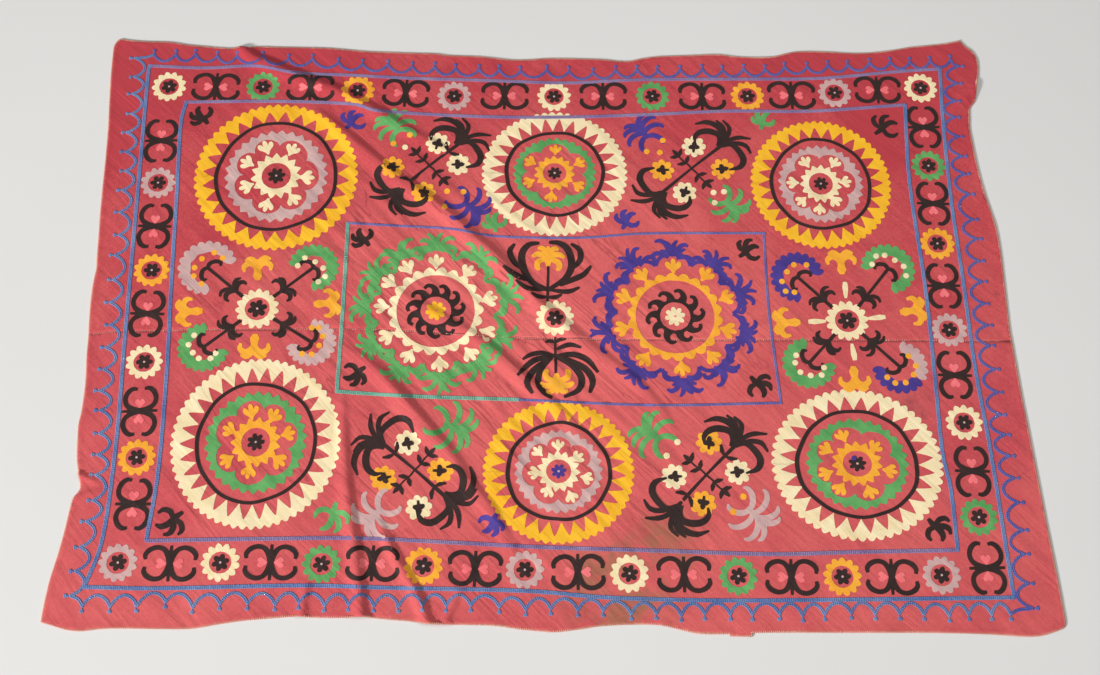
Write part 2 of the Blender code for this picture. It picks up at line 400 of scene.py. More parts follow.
def length_of_cotton(name, outline, material):
    """One length of cotton as it lies, with its hem."""
    low, high = outline.min(0), outline.max(0)
    rows = []
    for index, row in enumerate(np.arange(low[1], high[1], LATTICE * LATTICE_ROW)):
        across = np.arange(low[0] + LATTICE / 2 * (index % 2), high[0], LATTICE)
        rows.append(np.column_stack([across, np.full_like(across, row)]))
    lattice = np.vstack(rows)
    lattice = lattice[distance_to(np.vstack([outline, outline[:1]]), lattice) > LATTICE * CLEAR_OF_EDGE]
    spots, faces = triangulated(outline, lattice)
    lifts = drape(spots)
    hem = HEM_RISE * np.clip((HEM_END - distance_to(rim, spots)) / HEM_SLOPE, 0, 1)
    points = np.vstack([in_metres(spots, lifts + THICKNESS + hem), in_metres(spots, lifts)])
    return new_piece(name, points, closed_faces(faces, len(spots)), material)


# %% [markdown]
# ## Dyed cotton
# The ground is a plain-woven cotton, dyed red and faded unevenly, and painted light makes its middle paler.
# Up close the eye sees the crossing threads, and from further off it sees soft blotches, fine creases that
# follow the big folds and are darkened by painted shade, straight creases from storage, and a few old stains.
# All of it comes from Object coordinates in metres, so the pattern keeps its real size.

# %% Creases that the cotton and the stitching share
BAND = math.tau / 20  # a Wave texture of scale 1 repeats every 0.314 m
FOLDED_AT_X, FOLDED_AT_Y = (-0.404, -0.024, 0.331), (0.27, -0.0215, -0.3365)  # creases from storage
CREASE_HALF, CREASE_DEPTH = 0.0035, 0.28  # half of their width in metres, and their depth in millimetres
AMONG_FOLDS = (-0.16, -0.02)  # the middle of the big folds, in metres


def crease_streaks(tree, place):
    """A noise drawn out along the diagonal folds."""
    along_folds = add(
        tree, "ShaderNodeMapping",
        {"Vector": place, "Rotation": (0, 0, math.radians(-45)), "Scale": (0.30, 0.048, 1.0)},
        vector_type="TEXTURE",
    )
    return add(
        tree, "ShaderNodeTexNoise",
        {"Vector": along_folds.outputs[0], "Scale": 1.0, "Detail": 3.0, "Roughness": 0.55, "Distortion": 0.5},
    ).outputs["Fac"]


def painted_crease_shade_mask(tree, place):
    """Thin lines where the streaks cross their middle value, strongest between the big folds: the mask of the
    painted shade that darkens the creases.
    """
    off = maths(tree, "ABSOLUTE", maths(tree, "SUBTRACT", crease_streaks(tree, place), 0.5))
    line = ranged(tree, off, 0.0, 0.02, 1.0, 0.0, smooth=True)
    line = maths(tree, "MULTIPLY", line, ranged(tree, noise(tree, place, 7.0, 1.0), 0.42, 0.6))
    zone = ranged(tree, distance_from(tree, place, AMONG_FOLDS), 0.25, 0.75, 1.0, 0.15)
    return maths(tree, "MULTIPLY", line, zone)


def crease_height(tree, place):
    """Fine creases, in millimetres of height: diagonal ones near the folds and straight ones from storage."""
    near = ranged(tree, distance_from(tree, place, AMONG_FOLDS), 0.18, 0.8, 8.5, 5.0)
    height = maths(tree, "MULTIPLY", crease_streaks(tree, place), near)
    drift = maths(tree, "MULTIPLY_ADD", noise(tree, place, 9.0), 0.008, -0.004)
    parts = add(tree, "ShaderNodeSeparateXYZ", {"Vector": place}).outputs
    for axis, places in (("X", FOLDED_AT_X), ("Y", FOLDED_AT_Y)):
        wandering = maths(tree, "ADD", parts[axis], drift)
        for middle in places:
            line = maths(tree, "COMPARE", wandering, middle, CREASE_HALF)
            height = maths(tree, "MULTIPLY_ADD", line, -CREASE_DEPTH, height)
    return height


# %% Faded red plain-weave cotton
THREAD_SPACING = 0.0013  # really about 0.5 mm: drawn coarser, so that it shows


def dyed_cotton(name, deep, pale):
    """Plain-weave cotton in a red that fades unevenly: matt, with a soft fuzz, and cloudy in colour. Painted
    light makes its middle paler, and painted shade darkens its fine creases.
    """
    made, tree, shader = new_material(name)
    place = add(tree, "ShaderNodeTexCoord").outputs["Object"]
    parts = add(tree, "ShaderNodeSeparateXYZ", {"Vector": place}).outputs
    # paler towards the near end of the cloth and darker towards the far end
    nearer = ranged(tree, parts["Y"], 0.62, -0.5, -0.2, 0.55)
    # painted light: the middle of the cloth is painted paler, standing in for a pool of light from above
    middle_painted_light = ranged(tree, distance_from(tree, place, (0.0, 0.05)), 0.1, 0.8, 0.3, -0.25)
    blend = maths(tree, "ADD", nearer, middle_painted_light)
    blend = maths(tree, "MULTIPLY_ADD", noise(tree, place, 4.0, 6.0, 0.65), 1.6, blend)
    blend = maths(tree, "MULTIPLY_ADD", noise(tree, place, 260.0), 0.7, blend)
    blend = maths(tree, "SUBTRACT", blend, 0.8, use_clamp=True)
    colour = mixed(tree, blend, linear(deep), linear(pale))
    for middle, reach, tint, amount in STAINS:
        edge = ranged(tree, distance_from(tree, place, middle), reach, reach * 0.25, 0.0, amount, smooth=True)
        ragged = ranged(tree, noise(tree, place, 14.0, 5.0, 0.7), 0.42, 0.6)
        colour = mixed(tree, maths(tree, "MULTIPLY", edge, ragged), colour, linear(tint))
    # painted shade: thin lines of darker red along the creases, where shade falls between the folds
    crease_painted_shade = maths(tree, "MULTIPLY", painted_crease_shade_mask(tree, place), 0.65)
    colour = mixed(tree, crease_painted_shade, colour, linear("#8E2E38"))
    tree.links.new(colour, shader.inputs["Base Color"])
    weave = {"Vector": place, "Scale": BAND / THREAD_SPACING, "Distortion": 0.6, "Detail": 0.0}
    warp, weft = (add(tree, "ShaderNodeTexWave", weave, bands_direction=way).outputs["Fac"] for way in "XY")
    crossing = maths(tree, "MAXIMUM", warp, weft)
    height = maths(tree, "MULTIPLY_ADD", crossing, 0.12, crease_height(tree, place))
    relief = add(tree, "ShaderNodeBump", {"Height": height, "Distance": MM, "Strength": 1.0})
    tree.links.new(relief.outputs["Normal"], shader.inputs["Normal"])
    shader.inputs["Roughness"].default_value = 0.88
    shader.inputs["Sheen Weight"].default_value = 0.12
    shader.inputs["Sheen Roughness"].default_value = 0.5
    shader.inputs["Specular IOR Level"].default_value = 0.25
    return made


# (middle in metres, reach, tint, strength)
STAINS = (
    ((0.12, -0.56), 0.16, "#8E6A4A", 0.75),
    ((0.22, -0.47), 0.10, "#8E6A4A", 0.55),
    ((0.73, -0.21), 0.06, "#6E3B40", 0.6),
    ((0.911, 0.04), 0.012, "#5A2A30", 0.9),
    ((-0.62, 0.18), 0.09, "#A8484C", 0.4),
)
far_cotton = dyed_cotton("faded_red_cotton_far_length", "#B93A43", "#DE6966")
near_cotton = dyed_cotton("faded_red_cotton_near_length", "#B63946", "#D96361")
outlines = panel_outlines()
far_cloth = length_of_cotton("far_length_cloth", outlines[0], far_cotton)
near_cloth = length_of_cotton("near_length_cloth", outlines[1], near_cotton)
print({piece.name: len(piece.data.polygons) for piece in (far_cloth, near_cloth)}, "faces")

# %% [markdown]
# ## Embroidery thread
# The motifs are filled with rows of chain stitch in silky cotton thread. Each shape was filled along its own
# direction, which makes neighbouring shapes catch the light differently. Modelling every stitch would need
# millions of faces. So each filled shape is a low padded body that lies on the cloth, and its material draws
# the rows of links along the shape's own grain, which is kept in a UV map in metres.

# %% Rows of chain stitch
ROW, LINK = 0.0021, 0.0046  # really about 1.3 and 3 mm: drawn coarser, so that they show


def chain_stitch_thread(name, deep, pale):
    """Stranded cotton thread in chain stitch: softly glossy, with a painted sheen on each link and painted
    shade in the lines between the rows.
    """
    made, tree, shader = new_material(name)
    place = add(tree, "ShaderNodeTexCoord").outputs["Object"]
    grain = add(tree, "ShaderNodeUVMap", uv_map="grain").outputs["UV"]
    parts = add(tree, "ShaderNodeSeparateXYZ", {"Vector": grain}).outputs
    rows = maths(tree, "DIVIDE", parts["Y"], ROW)
    shift = maths(tree, "MULTIPLY", maths(tree, "FLOOR", rows), 0.37)
    links = maths(tree, "MULTIPLY_ADD", parts["X"], 1 / LINK, shift)
    round_row = ranged(tree, maths(tree, "PINGPONG", rows, 0.5), 0.0, 0.3, smooth=True)
    round_link = ranged(tree, maths(tree, "PINGPONG", links, 0.5), 0.0, 0.25, 0.45, smooth=True)
    bead = maths(tree, "MULTIPLY", round_row, round_link)
    tone = maths(tree, "MULTIPLY_ADD", noise(tree, place, 22.0, 3.0, 0.6), 1.5, -0.55)
    # painted light: each link is painted lighter in its middle, as a sheen, and darker between the rows, as
    # shade
    tone = maths(tree, "MULTIPLY_ADD", bead, 0.3, tone, use_clamp=True)
    tree.links.new(mixed(tree, tone, linear(deep), linear(pale)), shader.inputs["Base Color"])
    height = maths(tree, "MULTIPLY_ADD", bead, 0.3, crease_height(tree, place))
    relief = add(tree, "ShaderNodeBump", {"Height": height, "Distance": MM, "Strength": 0.8})
    tree.links.new(relief.outputs["Normal"], shader.inputs["Normal"])
    shader.inputs["Roughness"].default_value = 0.62
    shader.inputs["Sheen Weight"].default_value = 0.08
    shader.inputs["Specular IOR Level"].default_value = 0.3
    return made


# %% One material for each thread colour
THREAD_COLOURS = {
    "yellow": ("#F3AC12", "#FFCB30"),
    "orange": ("#F09E1E", "#FFBC3E"),
    "cream": ("#EED6A2", "#FFEFC8"),
    "green": ("#4A924D", "#76BC6E"),
    "lilac": ("#BE9898", "#DDB8AE"),
    "violet_blue": ("#3B2A7C", "#55409A"),
    "black": ("#231411", "#39211B"),
    "salmon": ("#EC666C", "#FA8688"),
}
threads = {
    name: chain_stitch_thread(f"{name}_cotton_thread", deep, pale)
    for name, (deep, pale) in THREAD_COLOURS.items()
}
print(len(threads), "thread colours")

# %% [markdown]
# ## Drawing with thread
# The embroiderer draws a shape on the cloth with a pen and then fills it. The helpers below do the same. A
# stroke is a path with a width that swells and tapers, and a filled shape is any closed outline. Each keeps a
# grain line, which says which way its rows of stitches run. Small seeded errors keep two motifs from being
# exact copies.

# %% Where the shapes are kept
stitched = {name: [] for name in THREAD_COLOURS}
hand = np.random.default_rng(41)  # the embroiderer's unsteady hand
PAD, BORDER = 0.46, 0.40  # how far the filling stands above the cotton, and its border
BORDER_WIDTH, CLEAR_OF_BORDER = 1.0, 1.8  # how wide the low border is, and where the points inside start
SUNK = 0.5  # how far the underside of a shape lies within the cotton
SEWN_IN_ORDER = ("cream", "yellow", "orange", "lilac", "green", "violet_blue", "salmon", "black")
LAYER = {name: 0.025 * index for index, name in enumerate(SEWN_IN_ORDER)}  # later threads lie a little higher


def sewn_height(thread, lift):
    """How far a shape is raised besides its padding, with a little chance so that no two tops coincide."""
    return lift + LAYER[thread] + hand.uniform(0, 0.03)


def turned(points, centre, heading=0.0, size=1.0, flip=1):
    """Local points, with +x ahead and +y to the left, turned to a heading and moved to a centre."""
    x, y = (np.asarray(points, float) * size * (1, flip)).T
    c, s = math.cos(heading), math.sin(heading)
    return np.column_stack([centre[0] + x * c - y * s, centre[1] + x * s + y * c])


def outwards(centre, radius):
    """The grain of a ring whose rows all run outwards: a rule instead of a line."""

    def rule(spots):
        away = spots - centre
        return np.column_stack([np.hypot(*away.T), np.arctan2(away[:, 1], away[:, 0]) * radius]) * MM

    return rule


def along_grain(line, spots):
    """How far along a line each spot is, and how far to its side, in metres."""
    if callable(line):
        return line(spots)
    line = np.asarray(line, float)
    best, found = np.full(len(spots), np.inf), np.zeros((len(spots), 2))
    start_at = 0.0
    for start, end in zip(line, line[1:]):
        run = end - start
        size = math.hypot(*run)
        if size < 1e-6:
            continue
        ahead = (spots - start) @ run / size
        side = (spots - start) @ np.array([-run[1], run[0]]) / size
        off = np.hypot(side, np.maximum(np.maximum(-ahead, ahead - size), 0))
        closer = off < best
        best[closer] = off[closer]
        found[closer] = np.column_stack([ahead + start_at, side])[closer]
        start_at += size
    return found * MM


def anticlockwise(outline):
    """The same closed outline, turned round if it runs clockwise."""
    x, y = outline.T
    return outline if (x * np.roll(y, -1) - y * np.roll(x, -1)).sum() > 0 else outline[::-1]


def fill(thread, outline, grain, holes=(), lift=0.0, lattice=5.0):
    """Fills a closed outline with rows of stitches that follow the grain line."""
    outline = anticlockwise(np.asarray(outline, float))
    low, high = outline.min(0), outline.max(0)
    inside = np.array(
        [(x, y) for x in np.arange(low[0], high[0], lattice) for y in np.arange(low[1], high[1], lattice)]
    )
    borders = [np.vstack([loop, loop[:1]]) for loop in (outline, *holes)]
    for border in borders:
        if len(inside):
            inside = inside[distance_to(border, inside) > CLEAR_OF_BORDER]
    spots, faces = triangulated(outline, inside, [anticlockwise(np.asarray(hole)) for hole in holes])
    off = np.min([distance_to(border, spots) for border in borders], axis=0)
    heights = np.where(off < BORDER_WIDTH, BORDER, PAD) + sewn_height(thread, lift)
    stitched[thread].append((spots, faces, heights, along_grain(grain, spots)))


def stroke(thread, points, width, lift=0.0, steps=3, close=False):
    """A stroke along a path. Its width is one number for a leaf that tapers, or a number for each point."""
    path = smoothed(points, steps)
    share = np.linspace(0, 1, len(path))
    if np.ndim(width):
        widths = np.interp(share, np.linspace(0, 1, len(width)), width)
    else:
        widths = 1.15 * width * np.sin(math.pi * (0.12 + 0.79 * share)) ** 0.65
    ahead = np.gradient(path, axis=0)
    if close:
        ahead[0] = ahead[-1] = path[1] - path[-2]
    side = np.column_stack([-ahead[:, 1], ahead[:, 0]]) / np.maximum(np.hypot(*ahead.T), 1e-9)[:, None]
    edge = side * widths[:, None] / 2
    count = len(path)
    spots = np.vstack([path - edge, path, path + edge])
    faces = []
    for index in range(count - 1):
        for rank in (0, count):
            faces.append((rank + index, rank + index + 1, rank + count + index + 1, rank + count + index))
    heights = np.repeat([BORDER, PAD, BORDER], count) + sewn_height(thread, lift)
    travelled = np.concatenate([[0], np.cumsum(np.hypot(*np.diff(path, axis=0).T))])
    beside_path = np.concatenate([-widths / 2, np.zeros(count), widths / 2])
    grain = np.column_stack([np.tile(travelled, 3), beside_path]) * MM
    stitched[thread].append((spots, faces, heights, grain))


# %% Round outlines, petals and dots
def round_line(centre, radius_at, count):
    """A closed outline round a centre, with the radius for each angle."""
    angles = np.linspace(0, math.tau, count, endpoint=False)
    radii = radius_at(angles) + hand.normal(0, 0.25, count)
    return np.column_stack([centre[0] + radii * np.cos(angles), centre[1] + radii * np.sin(angles)])


def circle(centre, radius, count):
    """Points round a circle, with the first again at the end."""
    angles = np.linspace(0, math.tau, count + 1)
    return np.column_stack([centre[0] + radius * np.cos(angles), centre[1] + radius * np.sin(angles)])


def scallops(low, high, count, turn, sharpness):
    """Radius for each angle of a round shape with rounded bumps."""
    return lambda angles: low + (high - low) * np.abs(np.cos(count * (angles - turn) / 2)) ** sharpness


def points_round(low, high, count, turn):
    """Radius for each angle of a round shape with pointed teeth."""
    return lambda angles: high - (high - low) * np.abs(2 * np.mod(count * (angles - turn) / math.tau, 1) - 1)


def flower(thread, centre, petals, low, high, turn, eye=None):
    """Rounded petals round a centre, with or without a pale eye."""
    outline = round_line(centre, scallops(low, high, petals, turn, 0.6), petals * 8)
    fill(thread, outline, circle(centre, high * 0.45, 16))
    if eye:
        dot(eye, centre, 2.3, lift=0.5)


def dot(thread, centre, radius, lift):
    """A small round dot."""
    fill(thread, circle(centre, radius, 10)[:-1], circle(centre, radius / 2, 8), lift=lift, lattice=4.0)


def ring(thread, centre, outer, inner, count, grain):
    """A flat ring between two round lines, each a radius or a rule that gives one."""
    lines = []
    for radius in (outer, inner):
        rule = radius if callable(radius) else (lambda angles, r=radius: np.full_like(angles, r))
        lines.append(round_line(centre, rule, count))
    fill(thread, lines[0], circle(centre, grain, 40), holes=[lines[1]])


def small_rosette(thread, centre, size, scallop_count=13):
    """A scalloped ring round a black flower with a pale eye."""
    turn = hand.uniform(0, 0.4)
    bumps = scallops(30 * size, 38 * size, scallop_count, turn, 0.9)
    ring(thread, centre, bumps, 21.5 * size, scallop_count * 8, 26 * size)
    flower("black", centre, 6, 8 * size, 17 * size, turn, eye="lilac")


print("thread helpers ready")

# %% [markdown]
# ## Line work
# Two frames, a middle rectangle and a scalloped line are worked as plain rows of chain stitch. Each line is a
# few rows side by side. Here Geometry Nodes resample a path and put one small flattened link on each point, a
# little uneven, because that is how such a line is sewn.


# %% A Geometry Nodes tree for rows of stitches
def stitch_tree():
    """Rows of stitches on paths. Its inputs are real sizes in metres."""
    tree = bpy.data.node_groups.new("stitches_along_paths", "GeometryNodeTree")
    tree.interface.new_socket("Geometry", in_out="INPUT", socket_type="NodeSocketGeometry")
    for label, value in (
        ("Spacing", 0.0045), ("Length", 0.006), ("Width", 0.0034), ("Height", 0.0013), ("Slant", 0.0),
        ("Unevenness", 0.12),
    ):
        tree.interface.new_socket(label, in_out="INPUT", socket_type="NodeSocketFloat").default_value = value
    tree.interface.new_socket("Seed", in_out="INPUT", socket_type="NodeSocketInt").default_value = 5
    tree.interface.new_socket("Thread", in_out="INPUT", socket_type="NodeSocketMaterial")
    tree.interface.new_socket("Geometry", in_out="OUTPUT", socket_type="NodeSocketGeometry")
    given = add(tree, "NodeGroupInput").outputs
    paths = add(tree, "GeometryNodeMeshToCurve", {"Mesh": given["Geometry"]})
    points = add(
        tree, "GeometryNodeResampleCurve", {"Curve": paths.outputs["Curve"], "Length": given["Spacing"]},
        mode="LENGTH",
    )
    tangent = add(tree, "GeometryNodeInputTangent")
    forward = add(
        tree, "FunctionNodeAlignRotationToVector", {"Vector": tangent.outputs[0]}, axis="X", pivot_axis="Z"
    )
    slant = add(tree, "ShaderNodeCombineXYZ", {"Z": given["Slant"]})
    leaning = add(
        tree, "FunctionNodeRotateRotation", {"Rotation": forward.outputs[0], "Rotate By": slant.outputs[0]},
        rotation_space="LOCAL",
    )
    least, most = (maths(tree, operation, 1.0, given["Unevenness"]) for operation in ("SUBTRACT", "ADD"))
    sizes = {"Min": least, "Max": most, "Seed": given["Seed"]}
    uneven = add(tree, "FunctionNodeRandomValue", sizes, data_type="FLOAT")
    size = add(
        tree, "ShaderNodeCombineXYZ", {"X": given["Length"], "Y": given["Width"], "Z": given["Height"]}
    )
    varied = add(
        tree, "ShaderNodeVectorMath", {0: size.outputs[0], "Scale": uneven.outputs["Value"]},
        operation="SCALE",
    )
    link = add(tree, "GeometryNodeMeshIcoSphere", {"Radius": 0.5, "Subdivisions": 1})
    soft = add(tree, "GeometryNodeSetShadeSmooth", {"Geometry": link.outputs["Mesh"]})
    sewn = add(
        tree, "GeometryNodeInstanceOnPoints",
        {
            "Points": points.outputs[0], "Instance": soft.outputs[0], "Rotation": leaning.outputs[0],
            "Scale": varied.outputs[0],
        },
    )
    real = add(tree, "GeometryNodeRealizeInstances", {"Geometry": sewn.outputs[0]})
    coloured = add(
        tree, "GeometryNodeSetMaterial", {"Geometry": real.outputs[0], "Material": given["Thread"]}
    )
    add(tree, "NodeGroupOutput", {"Geometry": coloured.outputs[0]})
    return tree


stitches = stitch_tree()


def sewn_rows(name, rows, thread, **sizes):
    """One piece of stitches along rows of points, which are arrays in metres."""
    edges, first = [], 0
    for row in rows:
        edges += [(first + index, first + index + 1) for index in range(len(row) - 1)]
        first += len(row)
    guide_mesh = bpy.data.meshes.new(name + "_path")
    guide_mesh.from_pydata([tuple(point) for point in np.vstack(rows)], edges, [])
    guide = bpy.data.objects.new(name + "_path", guide_mesh)
    bpy.context.scene.collection.objects.link(guide)
    modifier = guide.modifiers.new("stitches", "NODES")
    modifier.node_group = stitches
    for item in stitches.interface.items_tree:
        if item.in_out == "INPUT" and item.name.lower() in sizes:
            modifier[item.identifier] = sizes[item.name.lower()]
        if item.in_out == "INPUT" and item.name == "Thread":
            modifier[item.identifier] = thread
    evaluated = guide.evaluated_get(bpy.context.evaluated_depsgraph_get())
    mesh = bpy.data.meshes.new_from_object(evaluated)
    mesh.name = name
    guide.modifiers.remove(modifier)
    bpy.data.objects.remove(guide)
    piece = bpy.data.objects.new(name, mesh)
    bpy.context.scene.collection.objects.link(piece)
    return piece


# %% Thread for the small stitches
def twisted_thread(name, deep, pale):
    """Twisted cotton thread, seen stitch by stitch: its tone and relief vary a little along the twist."""
    made, tree, shader = new_material(name)
    place = add(tree, "ShaderNodeTexCoord").outputs["Object"]
    twist = noise(tree, place, 420.0)
    tone = ranged(tree, maths(tree, "MULTIPLY_ADD", twist, 0.5, noise(tree, place, 16.0, 3.0)), 0.55, 0.95)
    tree.links.new(mixed(tree, tone, linear(deep), linear(pale)), shader.inputs["Base Color"])
    relief = add(tree, "ShaderNodeBump", {"Height": twist, "Distance": 0.0003, "Strength": 0.6})
    tree.links.new(relief.outputs["Normal"], shader.inputs["Normal"])
    shader.inputs["Roughness"].default_value = 0.65
    shader.inputs["Sheen Weight"].default_value = 0.08
    shader.inputs["Specular IOR Level"].default_value = 0.3
    return made


def beside(line, offset):
    """The same line moved to its left by an offset."""
    ahead = np.gradient(line, axis=0)
    side = np.column_stack([-ahead[:, 1], ahead[:, 0]]) / np.maximum(np.hypot(*ahead.T), 1e-9)[:, None]
    return line + side * offset


def on_cloth(lines, rise=0.35):
    """Lines of table coordinates laid on top of the cotton, in metres."""
    lying = as_it_lies(np.vstack(lines))
    placed = in_metres(lying, drape(lying) + THICKNESS + rise)
    return np.split(placed, np.cumsum([len(line) for line in lines])[:-1])


# %% The two frames and the middle rectangle
FRAME_LINES = {
    "purple_grey": (
        (
            (-868, 570), (-750, 566), (-640, 572), (-550, 556), (-430, 551), (-303, 545), (-130, 541),
            (35, 537), (200, 547), (420, 551), (590, 555), (750, 573), (852, 582),
        ),
        (
            (-782, 480), (-590, 484), (-430, 479), (-360, 462), (-160, 451), (20, 451), (200, 459),
            (380, 470), (563, 472), (768, 490),
        ),
        (
            (772, -489), (560, -494), (410, -498), (200, -492), (-20, -486), (-180, -478), (-370, -470),
            (-560, -472), (-762, -476),
        ),
    ),
    "steel_blue": (
        ((854, 582), (846, 440), (843, 251), (847, 60), (849, -120), (859, -295), (868, -579)),
        (
            (868, -579), (610, -583), (325, -586), (106, -581), (-50, -569), (-300, -564), (-470, -560),
            (-730, -566), (-867, -564),
        ),
        (
            (-868, -564), (-845, -467), (-842, -271), (-850, -60), (-856, 131), (-863, 347), (-869, 537),
            (-868, 570),
        ),
        ((768, 490), (759, 299), (767, 60), (766, -130), (764, -290), (772, -370), (772, -489)),
        ((-763, -474), (-755, -343), (-759, -150), (-770, 60), (-778, 240), (-787, 418), (-781, 478)),
    ),
    "teal": (
        ((-65, -191), (-275, -185), (-422, -176)),
        ((-422, -176), (-420, 10), (-420, 194)),
    ),
    "violet_blue": (
        ((-420, 194), (-310, 188), (-203, 182), (-110, 166), (60, 164), (200, 175), (444, 178)),
        ((442, 176), (442, 0), (454, -195)),
        ((454, -195), (200, -201), (-65, -191)),
    ),
}
LINE_COLOURS = {
    "purple_grey": ("#7A6494", "#9480A4"),
    "steel_blue": ("#526BA0", "#758DB8"),
    "teal": ("#5E9A8A", "#84B69E"),
    "violet_blue": ("#5C5896", "#7C77AE"),
    "scallop_blue": ("#4C529C", "#6569A8"),
    "peach": ("#BE7E66", "#E0AC92"),
    "pale_pink": ("#DB9484", "#EFBBA8"),
}
line_threads = {name: twisted_thread(f"{name}_twisted_thread", *pair) for name, pair in LINE_COLOURS.items()}
FINE_LINES = ("violet_blue",)  # two rows of stitches instead of three
line_pieces = []
for name, lines in FRAME_LINES.items():
    offsets = (-1.3, 1.3) if name in FINE_LINES else (-2.5, 0.0, 2.5)
    rows = on_cloth([beside(smoothed(line, 16), offset) for line in lines for offset in offsets])
    line_pieces.append(
        sewn_rows(
            f"{name}_frame_lines", rows, line_threads[name], spacing=0.0040, length=0.0072, width=0.0036,
            height=0.0013,
        )
    )
print({piece.name: len(piece.data.polygons) for piece in line_pieces}, "faces")

# %% [markdown]
# ## The scalloped line
# Outside the frames runs a line of shallow swags. They almost touch the frame, and between two swags a short
# peg with a knob stands outwards. The sewer set them out by eye. So a few marks along each side give the
# pace, the pegs in between are spaced evenly, and each one strays a little. One smaller swag turns each
# corner.


# %% Set out places between marks
def set_out(marks):
    """Even places between a few marks, each given as its number in the row, x and y."""
    numbers, across, up = zip(*marks)
    places = np.arange(numbers[-1] + 1)
    return np.column_stack([np.interp(places, numbers, across), np.interp(places, numbers, up)])


# %% Swags and pegs
# for each side, clockwise from the far left corner: how far in the swags reach, and marks for the pegs' tips
PEG_MARKS = {
    "far side": (
        29,
        (
            (0, -860, 610), (4, -680, 610), (11, -300, 585), (16, -65, 578), (19, 95, 577), (27, 470, 590),
            (36, 880, 617),
        ),
    ),
    "right side": (
        36,
        (
            (0, 905, 587), (3, 886, 460), (7, 891, 275), (8, 895, 217), (17, 899, -218), (20, 910, -347),
            (25, 910, -600),
        ),
    ),
    "near side": (
        31,
        (
            (0, 860, -620), (3, 740, -621), (15, 195, -623), (22, -148, -606), (30, -515, -606),
            (37, -867, -610),
        ),
    ),
    "left side": (32, ((0, -906, -580), (4, -882, -396), (11, -894, -88), (18, -902, 265), (25, -912, 590))),
}
PEG = 11.0  # length of a peg
KNOB_HALF, KNOB_STEP = 1.7, 2.6  # half the width of the knob on a peg, and the distance of its second row
CORNER_SAG = 6.0  # how far the swag at a corner hangs
STRAY, LEAN = 1.8, 1.5  # how far a peg strays from its even place, and its foot sideways
SWAG_ROWS = (-1.6, 1.6)  # a swag is two rows of stitches
scallop_lines = {"scallop_blue": [], "steel_blue": []}  # the near and left sides were sewn in a paler blue
peg_rows, ways_in = [], []
for _, marks in PEG_MARKS.values():
    peg_rows.append(set_out(marks) + hand.normal(0, STRAY, (marks[-1][0] + 1, 2)))
    along, up = peg_rows[-1][-1] - peg_rows[-1][0]
    ways_in.append(np.array([up, -along]) / math.hypot(along, up))
for index, (side, (reach, _)) in enumerate(PEG_MARKS.items()):
    swags, pegs, tips = [], [], peg_rows[index]
    following = (index + 1) % len(ways_in)
    inwards, next_inwards, next_tip = ways_in[index], ways_in[following], peg_rows[following][0]
    share = np.linspace(0, 1, 7)[:, None]
    turning = inwards * (1 - share) + next_inwards * share
    swags.append(
        tips[-1] + (next_tip - tips[-1]) * share + turning * (PEG + CORNER_SAG * np.sin(share * math.pi))
    )
    for tip, after in zip(tips, tips[1:]):
        share = np.linspace(0, 1, 9)[:, None]
        bend = np.sin(share * math.pi) ** 0.75
        swags.append(tip + (after - tip) * share + inwards * (PEG + (reach - PEG) * bend))
    for tip in tips:
        sideways = np.array([-inwards[1], inwards[0]])
        foot = tip + inwards * PEG + sideways * hand.normal(0, LEAN)
        pegs.append(np.array([foot, (foot + tip) / 2, tip]))
        for back in (0.0, KNOB_STEP):
            middle = tip + inwards * back
            pegs.append(np.array([middle - sideways * KNOB_HALF, middle + sideways * KNOB_HALF]))
    colour = "steel_blue" if side in ("near side", "left side") else "scallop_blue"
    scallop_lines[colour] += [beside(swag, offset) for swag in swags for offset in SWAG_ROWS] + pegs
for name, lines in scallop_lines.items():
    line_pieces.append(
        sewn_rows(
            f"{name}_scallops", on_cloth(lines), line_threads[name], spacing=0.0038, length=0.0062,
            width=0.0039, height=0.0013,
        )
    )
print({name: len(lines) for name, lines in scallop_lines.items()}, "rows of scallops and pegs")

# %% [markdown]
# ## Edge and seam
# The raw edge was turned in and overcast with a pale thread, so a thin peach line runs round the whole cloth.
# The two lengths are joined edge to edge by short crossing stitches. Both follow a path, so they use the same
# tree.

# %% Overcast edge and joining stitches
EDGE_INSET, EDGE_DROP = 1.4, 0.9  # how far in from the rim the stitches run, and below the top of the hem
LINK_FACES = 20
rim_path = in_metres(beside(rim, -EDGE_INSET), drape(rim) + THICKNESS + HEM_RISE - EDGE_DROP)
overcast_edge = sewn_rows(
    "overcast_edge", [rim_path], line_threads["peach"], spacing=0.0038, length=0.0029, width=0.0056,
    height=0.0036, slant=math.radians(24),
)
seam_line = smoothed(SEAM, 14)[1:-1]
seam_stitches = sewn_rows(
    "seam_stitches", on_cloth([seam_line], 0.1), line_threads["pale_pink"], spacing=0.0046, length=0.0036,
    width=0.0018, height=0.0010, slant=math.radians(38), unevenness=0.35,
)
line_pieces += [overcast_edge, seam_stitches]
edge_count, seam_count = (len(piece.data.polygons) // LINK_FACES for piece in (overcast_edge, seam_stitches))
print("edge stitches:", edge_count, " seam stitches:", seam_count)

# %% [markdown]
# ## Border motifs
# Small rosettes and paired-arc motifs follow each other round the border. An array would make them all alike,
# and the real ones were drawn by hand at slightly uneven steps. So a few marks along each side give the pace,
# and each motif strays a little from its even place.


